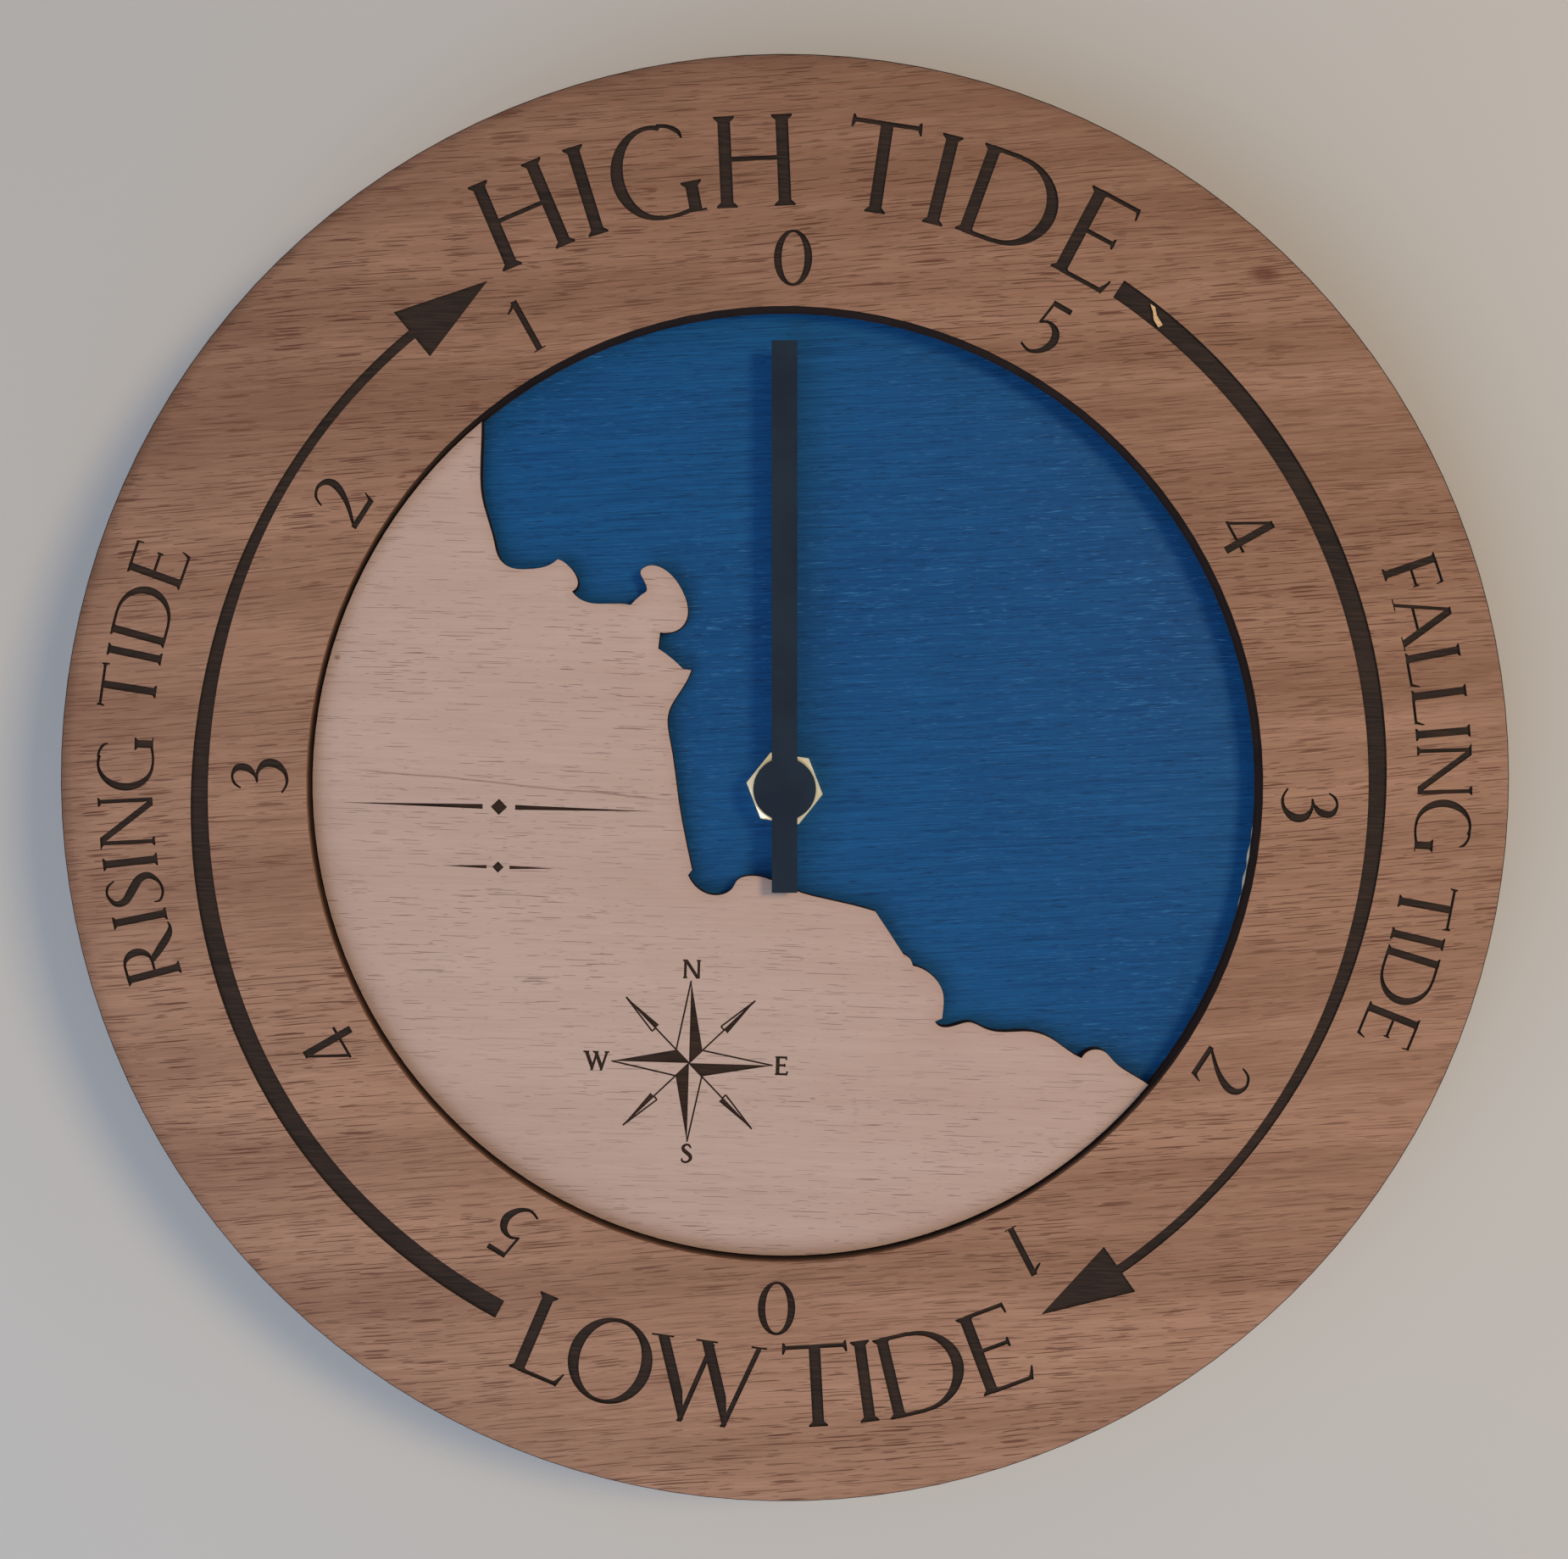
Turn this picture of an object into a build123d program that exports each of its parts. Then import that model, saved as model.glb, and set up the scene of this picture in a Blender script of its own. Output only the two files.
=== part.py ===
from build123d import *
import math
import os

os.makedirs("parts", exist_ok=True)

# Wall tide clock. Millimetres; X to the viewer's right, Z up, the dial faces -Y.
# The origin is the middle of the hanging hole, on the wall. Depths are measured from the wall to the front,
# and places (u, v) from the axis of the hand, u to the right and v up.

# Dial
ring_diameter = 300
ring_width = 51
ring_thick = 6
land_thick = 3
land_kerf = 0.3
sea_thick = 3
glue_lap = 18

# Coast edge of the land, as shares of the opening's radius; each row is smooth, and rows meet in a corner
coast_shares = [
    [(-0.668, 0.83), (-0.657, 0.659), (-0.652, 0.592), (-0.635, 0.536), (-0.621, 0.485)],
    [(-0.621, 0.485), (-0.586, 0.447), (-0.547, 0.446), (-0.516, 0.452), (-0.491, 0.468)],
    [(-0.491, 0.468), (-0.453, 0.438), (-0.447, 0.415), (-0.458, 0.401)],
    [(-0.458, 0.401), (-0.426, 0.38), (-0.384, 0.378), (-0.335, 0.377)],
    [(-0.335, 0.377), (-0.322, 0.391), (-0.303, 0.406)],
    [(-0.303, 0.406), (-0.308, 0.427), (-0.316, 0.448), (-0.303, 0.459), (-0.288, 0.461), (-0.267, 0.454),
     (-0.229, 0.414), (-0.216, 0.383), (-0.215, 0.353), (-0.227, 0.332), (-0.242, 0.323), (-0.271, 0.32)],
    [(-0.271, 0.32), (-0.274, 0.287)],
    [(-0.274, 0.287), (-0.247, 0.269), (-0.221, 0.246)],
    [(-0.221, 0.246), (-0.203, 0.244)],
    [(-0.203, 0.244), (-0.218, 0.21), (-0.249, 0.151), (-0.242, 0.086), (-0.223, -0.029), (-0.19, -0.178)],
    [(-0.19, -0.178), (-0.198, -0.189)],
    [(-0.198, -0.189), (-0.183, -0.211), (-0.157, -0.227), (-0.121, -0.226), (-0.104, -0.213), (-0.095, -0.197),
     (-0.073, -0.187), (-0.027, -0.192), (0.03, -0.215), (0.101, -0.232), (0.2, -0.254)],
    [(0.2, -0.254), (0.236, -0.305), (0.262, -0.343)],
    [(0.262, -0.343), (0.274, -0.35), (0.283, -0.367)],
    [(0.283, -0.367), (0.316, -0.38), (0.349, -0.424), (0.351, -0.449), (0.349, -0.478)],
    [(0.349, -0.478), (0.334, -0.485)],
    [(0.334, -0.485), (0.344, -0.494), (0.372, -0.493), (0.409, -0.484), (0.437, -0.495), (0.464, -0.502),
     (0.538, -0.5), (0.581, -0.513), (0.625, -0.542), (0.647, -0.553)],
    [(0.647, -0.553), (0.675, -0.534), (0.695, -0.538), (0.715, -0.557), (0.763, -0.589), (0.84, -0.65)],
]
inland_shares = [(0.84, -0.65), (0.84, -1.2), (-1.2, -1.2), (-1.2, 0.83), (-0.668, 0.83)]

# Hand
hand_tip_gap = 7
hand_tail = 21.5
hand_width = 5.3
hand_thick = 0.6
hub_diameter = 13
hand_rest_turn = 1.7
bush_diameter = 8.4
bush_length = 1.8
hand_lift = 0.5

# Nose, nut, washer and hanger
nose_diameter = 10
nose_proud = 0.7
nose_gap = 0.2
thread_gap = 0.05
nut_flats = 14
nut_thick = 2.8
nut_turn = -7
nut_bevel_turn = 60
washer_diameter = 26
washer_thick = 1
bracket_sheet = 1
bracket_width = 18
bracket_drop = 12
bracket_bend = 1.3
bracket_gap = 0.2
hanger_diameter = 8
hanger_height = 8

# Fits
run_gap = 0.05
press_gap = 0.02
end_shake = 0.2

# Battery cell and its contacts
cell_diameter = 14.2
cell_length = 48.5
cell_button_diameter = 5.5
cell_button_length = 1.2
cell_room = 0.5
cell_front_gap = 0.2
cell_back_gap = 0.4
contact_sheet = 0.4
contact_bow = 2.7
contact_width = 8
contact_height = 9
contact_strip = 1.2
contact_strip_gap = 0.2
contact_tab_width = 3
contact_tab_rise = 3
contact_reach = 14
slot_gap = 0.15

# Movement case
side_wall = 1.6
front_wall = 1.2
partition_thick = 1.2
case_corner = 4
cover_thick = 1.2
cover_gap = 0.15
cover_room = 0.5
column_side = 3
snap_width = 6
snap_length = 2.2
snap_thick = 0.8
snap_barb = 0.9
snap_place_v = 8
room_gap = 0.55
coil_room = 1.6

# Wheel train; layer 0 is the foremost
wheel_thick = 1
layer_gap = 0.4
front_shake = 0.3
layers = 6
bridge_thick = 1.4
bridge_gap = 0.5
bridge_reach = 4
pivot_diameter = 0.8
pivot_length = 1.3
boss_diameter = 2.4
arbor_diameter = 1
collar_diameter = 1.4
post_diameter = 3.2
post_inset = 2.6
peg_diameter = 1.6

# Tooth form, as shares of the module and of the pitch
tip_height_share = 0.8
root_depth_share = 1.15
tip_width_share = 0.18
root_width_share = 0.5

# Motion work: cannon pinion, idler, tide wheel, setting gear
tide_teeth = 48
idler_pinion_teeth = 12
idler_teeth = 36
cannon_teeth = 12
setting_teeth = 20
motion_distance = 6.6
idler_turn = -40
setting_turn = 10
tube_diameter = 5.1
pipe_diameter = 3.4
pipe_short = 1
cannon_collar_diameter = 2.6
second_arbor_diameter = 1.1
second_arbor_length = 8
stud_diameter = 1.2
setting_shaft_diameter = 2
setting_pivot_diameter = 1.2
setting_boss_diameter = 2.8
knob_diameter = 11
knob_thick = 2.4
knob_ridges = 30
knob_back = 0.3
knob_gap = 0.35
knob_dimple_diameter = 3
knob_dimple_depth = 0.8
knob_dimple_offset = 3

# Going train: rotor, second idler, second wheel, third wheel, centre wheel
rotor_teeth = 8
second_idler_teeth = 60
second_idler_pinion_teeth = 15
second_teeth = 60
second_pinion_teeth = 8
third_teeth = 64
third_pinion_teeth = 8
centre_teeth = 60
third_distance = 7.2
third_turn = 30
second_idler_distance = 7.5
second_idler_turn = 130
rotor_distance = 6.8
rotor_turn = 120

# Motor and circuit
magnet_diameter = 5.8
magnet_length = 2.4
magnet_front_gap = 0.5
stator_thick = 1
stator_gap = 0.5
stator_bar = 9.2
stator_span = 20
stator_arm = 4.4
stator_head = 2.2
coil_rise = 9.6
core_thick = 1
core_width = 3
bobbin_diameter = 4.4
bobbin_gap = 0.3
flange_diameter = 6.8
flange_thick = 0.8
winding_diameter = 6
board_thick = 1
board_width = 22
board_height = 13
board_inset = 2
blob_diameter = 6
blob_height = 1
blob_bevel = 0.6
crystal_diameter = 2
crystal_length = 6
crystal_inset = 3


def polar(start, distance, turn):
    """The place at a distance from another place, in a direction given in degrees."""
    along = math.radians(turn)
    return (start[0] + distance * math.cos(along), start[1] + distance * math.sin(along))


def meshed(phase, teeth, turn, mate_teeth):
    """Phase of a mating gear that lies in the direction turn, so that tooth meets gap."""
    return turn + 180 - (phase - turn) * teeth / mate_teeth - 180 / mate_teeth


def tip_radius(teeth, module):
    """Radius over the teeth of a gear."""
    return teeth * module / 2 + tip_height_share * module


# Gears: the centre distances drive the modules
tide_module = 2 * motion_distance / (tide_teeth + idler_pinion_teeth)
cannon_module = 2 * motion_distance / (cannon_teeth + idler_teeth)
setting_distance = cannon_module * (idler_teeth + setting_teeth) / 2
centre_module = 2 * third_distance / (centre_teeth + third_pinion_teeth)
third_module = 2 * third_distance / (third_teeth + second_pinion_teeth)
second_module = 2 * second_idler_distance / (second_teeth + second_idler_pinion_teeth)
rotor_module = 2 * rotor_distance / (second_idler_teeth + rotor_teeth)
knob_module = knob_diameter / knob_ridges

centre_place = (0, 0)
idler_place = polar(centre_place, motion_distance, idler_turn)
setting_place = polar(idler_place, setting_distance, setting_turn)
third_place = polar(centre_place, third_distance, third_turn)
second_idler_place = polar(centre_place, second_idler_distance, second_idler_turn)
rotor_place = polar(second_idler_place, rotor_distance, rotor_turn)

# Room for the train and the cell, from what they hold
stator_reach = abs(rotor_place[0]) + (stator_span + stator_arm) / 2
motor_half = stator_reach + column_side + room_gap
cell_half = (cell_length + cell_button_length + contact_sheet + contact_bow) / 2
room_half = max(motor_half, cell_half)
room_low = idler_place[1] - tip_radius(idler_teeth, cannon_module) - room_gap
room_top = rotor_place[1] + coil_rise + flange_diameter / 2 + coil_room
train_depth = front_shake + layers * (wheel_thick + layer_gap) + bridge_thick
back_depth = board_thick + crystal_diameter + cover_room + cover_thick
room_front = max(train_depth + back_depth, cell_back_gap + cell_diameter + cell_front_gap)
case_depth = room_front + front_wall
cell_depth = room_front - cell_front_gap - cell_diameter / 2
bridge_front = room_front - train_depth + bridge_thick
bridge_back = bridge_front - bridge_thick
board_back = bridge_back - board_thick
contact_back = board_back - contact_sheet

# The cell lies low enough to clear the contact strip along the top of its bay
strip_offset = max(cell_depth - contact_back - contact_sheet, contact_back - cell_depth, 0)
cell_reach = math.sqrt(max((cell_diameter / 2) ** 2 - strip_offset ** 2, 0))
strip_room = cell_reach + contact_strip + 2 * contact_strip_gap - cell_diameter / 2
bay_top = room_low - partition_thick
cell_v = bay_top - max(cell_room, strip_room) - cell_diameter / 2
bay_low = cell_v - cell_diameter / 2 - cell_room
case_half = room_half + side_wall
case_top = room_top + side_wall
case_low = bay_low - side_wall

# Depths of the stack, from the wall forward
bracket_front = case_depth + bracket_sheet
sea_back = bracket_front + washer_thick
dial_back = sea_back + sea_thick
nose_front = dial_back + nut_thick + nose_proud
hand_back = nose_front + hand_lift + bush_length
magnet_front = room_front - front_shake - wheel_thick - magnet_front_gap
magnet_back = magnet_front - magnet_length
stator_back = (magnet_front + magnet_back - stator_thick) / 2
stator_front = stator_back + stator_thick
core_back = stator_back - core_thick
coil_depth = core_back + core_thick / 2
leg_top = case_top + bracket_bend + bracket_gap
hanger_rise = leg_top + hanger_height

opening_radius = ring_diameter / 2 - ring_width
land_radius = opening_radius - land_kerf
hand_reach = opening_radius - hand_tip_gap
nose_radius = nose_diameter / 2
tube_radius = tube_diameter / 2
pipe_radius = pipe_diameter / 2
pivot_radius = pivot_diameter / 2
arbor_radius = arbor_diameter / 2
collar_radius = collar_diameter / 2
stud_radius = stud_diameter / 2
setting_shaft_radius = setting_shaft_diameter / 2
setting_pivot_radius = setting_pivot_diameter / 2
second_arbor_radius = second_arbor_diameter / 2
cannon_collar_radius = cannon_collar_diameter / 2
peg_radius = peg_diameter / 2
bridge_top = rotor_place[1] + bridge_reach


def layer(number):
    """Depth of the rear face of a layer of the train."""
    return room_front - front_shake - wheel_thick - number * (wheel_thick + layer_gap)


def facing(depth, place=(0, 0)):
    """Plane parallel to the dial, its normal to the front, x to the right and y up."""
    return Plane(origin=(place[0], -depth, place[1] - hanger_rise), x_dir=(1, 0, 0), z_dir=(0, -1, 0))


def sideways(u, depth=0, v=0):
    """Plane across the clock, its normal to the left, x to the front and y up."""
    return Plane(origin=(u, -depth, v - hanger_rise), x_dir=(0, -1, 0), z_dir=(-1, 0, 0))


def toothed(teeth, module, phase):
    """Points of a toothed outline, four to a tooth."""
    pitch = 360 / teeth
    root = (teeth / 2 - root_depth_share) * module
    points = []
    for count in range(teeth):
        middle = phase + count * pitch
        points.append(polar((0, 0), root, middle - root_width_share * pitch / 2))
        points.append(polar((0, 0), tip_radius(teeth, module), middle - tip_width_share * pitch / 2))
        points.append(polar((0, 0), tip_radius(teeth, module), middle + tip_width_share * pitch / 2))
        points.append(polar((0, 0), root, middle + root_width_share * pitch / 2))
    return points


def arbor_wheel(label, place, gears, steps, bore):
    """One wheel: toothed discs, round steps from depth to depth, and a bore right through, all on one axis."""
    with BuildPart() as wheel:
        for back, teeth, module, phase in gears:
            with BuildSketch(facing(back, place)):
                with BuildLine():
                    Polyline(*toothed(teeth, module, phase), close=True)
                make_face()
            extrude(amount=wheel_thick)
        for back, front, radius in steps:
            with BuildSketch(facing(back, place)):
                Circle(radius)
            extrude(amount=front - back)
        if bore > 0:
            with BuildSketch(facing(0, place)):
                Circle(bore)
            extrude(amount=hand_back, mode=Mode.SUBTRACT)
    wheel.part.label = label
    export_step(wheel.part, "parts/" + label + ".step")
    return wheel


# Dial ring
with BuildPart() as dial_ring:
    with BuildSketch(facing(dial_back)):
        Circle(ring_diameter / 2)
        Circle(opening_radius, mode=Mode.SUBTRACT)
    extrude(amount=ring_thick)
dial_ring.part.label = "dial_ring"
export_step(dial_ring.part, "parts/dial_ring.step")

# Land piece: the round opening less its kerf, cut along the coast
with BuildPart() as land_inlay:
    with BuildSketch(facing(dial_back)):
        Circle(land_radius)
        with BuildLine():
            for row in coast_shares:
                row_points = [(share_u * opening_radius, share_v * opening_radius) for share_u, share_v in row]
                if len(row_points) > 2:
                    Spline(*row_points)
                else:
                    Line(*row_points)
            Polyline(*[(share_u * opening_radius, share_v * opening_radius) for share_u, share_v in inland_shares])
        make_face(mode=Mode.INTERSECT)
    extrude(amount=land_thick)
land_inlay.part.label = "land_inlay"
export_step(land_inlay.part, "parts/land_inlay.step")

# Sea plate, glued behind the ring
with BuildPart() as sea_plate:
    with BuildSketch(facing(sea_back)):
        Circle(opening_radius + glue_lap)
        Circle(nose_radius + nose_gap, mode=Mode.SUBTRACT)
    extrude(amount=sea_thick)
sea_plate.part.label = "sea_plate"
export_step(sea_plate.part, "parts/sea_plate.step")

# Hand and its bush
with BuildPart() as tide_hand:
    with BuildSketch(facing(hand_back)):
        with Locations(polar((0, 0), (hand_reach - hand_tail) / 2, 90 + hand_rest_turn)):
            Rectangle(hand_width, hand_reach + hand_tail, rotation=hand_rest_turn)
        Circle(hub_diameter / 2)
    extrude(amount=hand_thick)
tide_hand.part.label = "tide_hand"
export_step(tide_hand.part, "parts/tide_hand.step")

with BuildPart() as hand_bush:
    with BuildSketch(facing(hand_back - bush_length)):
        Circle(bush_diameter / 2)
        Circle(tube_radius + press_gap, mode=Mode.SUBTRACT)
    extrude(amount=bush_length)
hand_bush.part.label = "hand_bush"
export_step(hand_bush.part, "parts/hand_bush.step")

# Nut with bevelled corners
nut_bevel_rise = nut_thick * math.tan(math.radians(nut_bevel_turn))
with BuildPart() as dial_nut:
    with BuildSketch(facing(dial_back)):
        RegularPolygon(nut_flats / 2, 6, major_radius=False, rotation=nut_turn)
    extrude(amount=nut_thick)
    with BuildSketch(facing(dial_back)):
        Circle(nut_flats / 2 + nut_bevel_rise)
    extrude(amount=nut_thick, taper=nut_bevel_turn, mode=Mode.INTERSECT)
    with BuildSketch(facing(dial_back)):
        Circle(nose_radius + thread_gap)
    extrude(amount=nut_thick, mode=Mode.SUBTRACT)
dial_nut.part.label = "dial_nut"
export_step(dial_nut.part, "parts/dial_nut.step")

with BuildPart() as rubber_washer:
    with BuildSketch(facing(bracket_front)):
        Circle(washer_diameter / 2)
        Circle(nose_radius + nose_gap, mode=Mode.SUBTRACT)
    extrude(amount=washer_thick)
rubber_washer.part.label = "rubber_washer"
export_step(rubber_washer.part, "parts/rubber_washer.step")

# Hanger: one strip bent twice, over the top of the case to the wall
leg_depth = case_depth + bracket_sheet / 2
tab_depth = bracket_sheet / 2
tab_top = hanger_rise + bracket_width / 2
with BuildPart() as hanger_bracket:
    with BuildSketch(sideways(bracket_width / 2)):
        with BuildLine():
            FilletPolyline(
                (leg_depth, -bracket_drop),
                (leg_depth, leg_top),
                (tab_depth, leg_top),
                (tab_depth, tab_top),
                radius=bracket_bend,
            )
        trace(line_width=bracket_sheet)
    extrude(amount=bracket_width)
    end_edges = hanger_bracket.part.edges().filter_by(Axis.Y).group_by(Axis.Z)
    fillet(end_edges[0] + end_edges[-1], radius=bracket_width / 2 - bracket_sheet)
    with BuildSketch(facing(case_depth)):
        Circle(nose_radius + nose_gap)
    extrude(amount=bracket_sheet, mode=Mode.SUBTRACT)
    with BuildSketch(facing(0, (0, hanger_rise))):
        Circle(hanger_diameter / 2)
    extrude(amount=bracket_sheet, mode=Mode.SUBTRACT)
hanger_bracket.part.label = "hanger_bracket"
export_step(hanger_bracket.part, "parts/hanger_bracket.step")

# Movement case: bosses for pivots, posts for the bridge and the stator, and the threaded nose
train_boss_back = layer(1)
rotor_boss_back = magnet_front + end_shake
setting_boss_back = layer(1) + wheel_thick + end_shake
post_us = (post_inset - room_half, room_half - post_inset)
post_vs = (room_low + post_inset, bridge_top - post_inset)
post_places = [(u, v) for u in post_us for v in post_vs]
arm_places = [(rotor_place[0] + side * stator_span / 2, rotor_place[1] + coil_rise) for side in (-1, 1)]
pivot_seats = [
    (third_place, train_boss_back, boss_diameter / 2, pivot_radius),
    (second_idler_place, train_boss_back, boss_diameter / 2, pivot_radius),
    (rotor_place, rotor_boss_back, boss_diameter / 2, pivot_radius),
    (setting_place, setting_boss_back, setting_boss_diameter / 2, setting_pivot_radius),
]
strip_top = bay_top - contact_strip_gap
strip_low = strip_top - contact_strip
tab_us = (-room_half, -contact_reach)
with BuildPart() as movement_case:
    with BuildSketch(facing(0, (0, (case_top + case_low) / 2))):
        RectangleRounded(2 * case_half, case_top - case_low, case_corner)
    extrude(amount=case_depth)
    with BuildSketch(facing(0, (0, (room_top + room_low) / 2))):
        Rectangle(2 * room_half, room_top - room_low)
    extrude(amount=room_front, mode=Mode.SUBTRACT)
    with BuildSketch(facing(0, (0, (bay_top + bay_low) / 2))):
        Rectangle(2 * room_half, bay_top - bay_low)
    extrude(amount=room_front, mode=Mode.SUBTRACT)
    with BuildSketch(facing(0, (0, (room_low + bay_top) / 2))):
        Rectangle(2 * room_half, partition_thick)
    extrude(amount=cover_thick, mode=Mode.SUBTRACT)
    for tab_u in tab_us:
        with BuildSketch(facing(contact_back - slot_gap, (tab_u + contact_tab_width / 2, (room_low + bay_top) / 2))):
            Rectangle(contact_tab_width + 2 * slot_gap, partition_thick)
        extrude(amount=contact_sheet + 2 * slot_gap, mode=Mode.SUBTRACT)
    for place, back, radius, pivot in pivot_seats:
        with BuildSketch(facing(back, place)):
            Circle(radius)
            Circle(pivot + run_gap, mode=Mode.SUBTRACT)
        extrude(amount=room_front - back)
    with BuildSketch(facing(layer(1) - end_shake, idler_place)):
        Circle(stud_radius)
    extrude(amount=room_front - layer(1) + end_shake)
    for place in post_places:
        with BuildSketch(facing(bridge_front, place)):
            Circle(post_diameter / 2)
        extrude(amount=room_front - bridge_front)
        with BuildSketch(facing(bridge_back, place)):
            Circle(peg_radius)
        extrude(amount=bridge_thick)
    for place in arm_places:
        with BuildSketch(facing(stator_front, place)):
            Circle(post_diameter / 2)
        extrude(amount=room_front - stator_front)
        with BuildSketch(facing(core_back, place)):
            Circle(peg_radius)
        extrude(amount=stator_front - core_back)
    for side in (-1, 1):
        column_u = side * (room_half - column_side / 2)
        with BuildSketch(facing(cover_thick, (column_u, room_top - column_side / 2))):
            Rectangle(column_side, column_side)
        extrude(amount=room_front - cover_thick)
        snap_u = side * (room_half + side_wall / 2)
        with BuildSketch(facing(cover_thick + snap_length - snap_barb - slot_gap, (snap_u, snap_place_v))):
            Rectangle(side_wall, snap_width + 2 * slot_gap)
        extrude(amount=snap_barb + 2 * slot_gap, mode=Mode.SUBTRACT)
    with BuildSketch(facing(room_front)):
        Circle(nose_radius)
    extrude(amount=nose_front - room_front)
    with BuildSketch(facing(room_front)):
        Circle(tube_radius + run_gap)
    extrude(amount=nose_front - room_front, mode=Mode.SUBTRACT)
movement_case.part.label = "movement_case"
export_step(movement_case.part, "parts/movement_case.step")

# Rear cover with snap legs; it rests on the partition and the two columns
cover_half = room_half - cover_gap
cover_top = room_top - cover_gap
knob_hole_radius = tip_radius(knob_ridges, knob_module) + knob_gap
with BuildPart() as rear_cover:
    with BuildSketch(facing(0, (0, (cover_top + bay_top) / 2))):
        Rectangle(2 * cover_half, cover_top - bay_top)
    extrude(amount=cover_thick)
    with BuildSketch(facing(0, setting_place)):
        Circle(knob_hole_radius)
    extrude(amount=cover_thick, mode=Mode.SUBTRACT)
    for side in (-1, 1):
        leg_u = side * (cover_half - snap_thick / 2)
        with BuildSketch(facing(cover_thick, (leg_u, snap_place_v))):
            Rectangle(snap_thick, snap_width)
        extrude(amount=snap_length)
        barb_u = side * (cover_half + snap_barb / 2)
        with BuildSketch(facing(cover_thick + snap_length - snap_barb, (barb_u, snap_place_v))):
            Rectangle(snap_barb, snap_width)
        extrude(amount=snap_barb)
rear_cover.part.label = "rear_cover"
export_step(rear_cover.part, "parts/rear_cover.step")

# Bridge over the train, on the posts
bridge_half = room_half - bridge_gap
bridge_low = room_low + bridge_gap
with BuildPart() as train_bridge:
    with BuildSketch(facing(bridge_back)):
        with Locations((0, (bridge_top + bridge_low) / 2)):
            Rectangle(2 * bridge_half, bridge_top - bridge_low)
        with Locations(*post_places):
            Circle(peg_radius + run_gap, mode=Mode.SUBTRACT)
        with Locations(centre_place, third_place, second_idler_place, rotor_place):
            Circle(pivot_radius + run_gap, mode=Mode.SUBTRACT)
        with Locations(setting_place):
            Circle(setting_shaft_radius + run_gap, mode=Mode.SUBTRACT)
    extrude(amount=bridge_thick)
train_bridge.part.label = "train_bridge"
export_step(train_bridge.part, "parts/train_bridge.step")

# Motion work
idler_pinion_phase = meshed(0, tide_teeth, idler_turn, idler_pinion_teeth)
cannon_phase = meshed(0, idler_teeth, idler_turn + 180, cannon_teeth)
setting_phase = meshed(0, idler_teeth, setting_turn, setting_teeth)
rear_pivot_back = bridge_front - pivot_length
rear_collar_back = bridge_front + end_shake
front_collar_end = train_boss_back - end_shake

tide_wheel = arbor_wheel(
    "tide_wheel",
    centre_place,
    [(layer(0), tide_teeth, tide_module, 0)],
    [(layer(0), hand_back, tube_radius)],
    pipe_radius + run_gap,
)
minute_idler = arbor_wheel(
    "minute_idler",
    idler_place,
    [
        (layer(0), idler_pinion_teeth, tide_module, idler_pinion_phase),
        (layer(1), idler_teeth, cannon_module, 0),
    ],
    [(layer(1), layer(0), collar_radius)],
    stud_radius + run_gap,
)
cannon_pinion = arbor_wheel(
    "cannon_pinion",
    centre_place,
    [(layer(1), cannon_teeth, cannon_module, cannon_phase)],
    [
        (layer(2) - end_shake, layer(1), cannon_collar_radius),
        (layer(1) + wheel_thick, hand_back - pipe_short, pipe_radius),
    ],
    second_arbor_radius + run_gap,
)
setting_gear = arbor_wheel(
    "setting_gear",
    setting_place,
    [(layer(1), setting_teeth, cannon_module, setting_phase)],
    [],
    setting_shaft_radius + press_gap,
)

# Setting knob with its shaft
with BuildPart() as setting_knob:
    with BuildSketch(facing(knob_back, setting_place)):
        with BuildLine():
            Polyline(*toothed(knob_ridges, knob_module, 0), close=True)
        make_face()
    extrude(amount=knob_thick)
    with BuildSketch(facing(knob_back, polar(setting_place, knob_dimple_offset, setting_turn))):
        Circle(knob_dimple_diameter / 2)
    extrude(amount=knob_dimple_depth, mode=Mode.SUBTRACT)
    with BuildSketch(facing(knob_back + knob_thick, setting_place)):
        Circle(setting_shaft_radius)
    extrude(amount=layer(1) + wheel_thick - knob_back - knob_thick)
    with BuildSketch(facing(layer(1) + wheel_thick, setting_place)):
        Circle(setting_pivot_radius)
    extrude(amount=pivot_length)
setting_knob.part.label = "setting_knob"
export_step(setting_knob.part, "parts/setting_knob.step")

# Going train
third_pinion_phase = meshed(0, centre_teeth, third_turn, third_pinion_teeth)
second_pinion_phase = meshed(0, third_teeth, third_turn + 180, second_pinion_teeth)
second_idler_pinion_phase = meshed(0, second_teeth, second_idler_turn, second_idler_pinion_teeth)
rotor_phase = meshed(0, second_idler_teeth, rotor_turn, rotor_teeth)

centre_wheel = arbor_wheel(
    "centre_wheel",
    centre_place,
    [(layer(2), centre_teeth, centre_module, 0)],
    [],
    cannon_collar_radius + run_gap,
)
third_wheel = arbor_wheel(
    "third_wheel",
    third_place,
    [
        (layer(2), third_pinion_teeth, centre_module, third_pinion_phase),
        (layer(3), third_teeth, third_module, 0),
    ],
    [
        (rear_pivot_back, rear_collar_back, pivot_radius),
        (rear_collar_back, layer(3), collar_radius),
        (layer(3), front_collar_end, arbor_radius),
        (front_collar_end, front_collar_end + pivot_length, pivot_radius),
    ],
    0,
)
second_wheel = arbor_wheel(
    "second_wheel",
    centre_place,
    [
        (layer(3), second_pinion_teeth, third_module, second_pinion_phase),
        (layer(4), second_teeth, second_module, 0),
    ],
    [
        (rear_pivot_back, rear_collar_back, pivot_radius),
        (rear_collar_back, layer(4), collar_radius),
        (layer(4), layer(3) + wheel_thick + second_arbor_length, second_arbor_radius),
    ],
    0,
)
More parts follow.
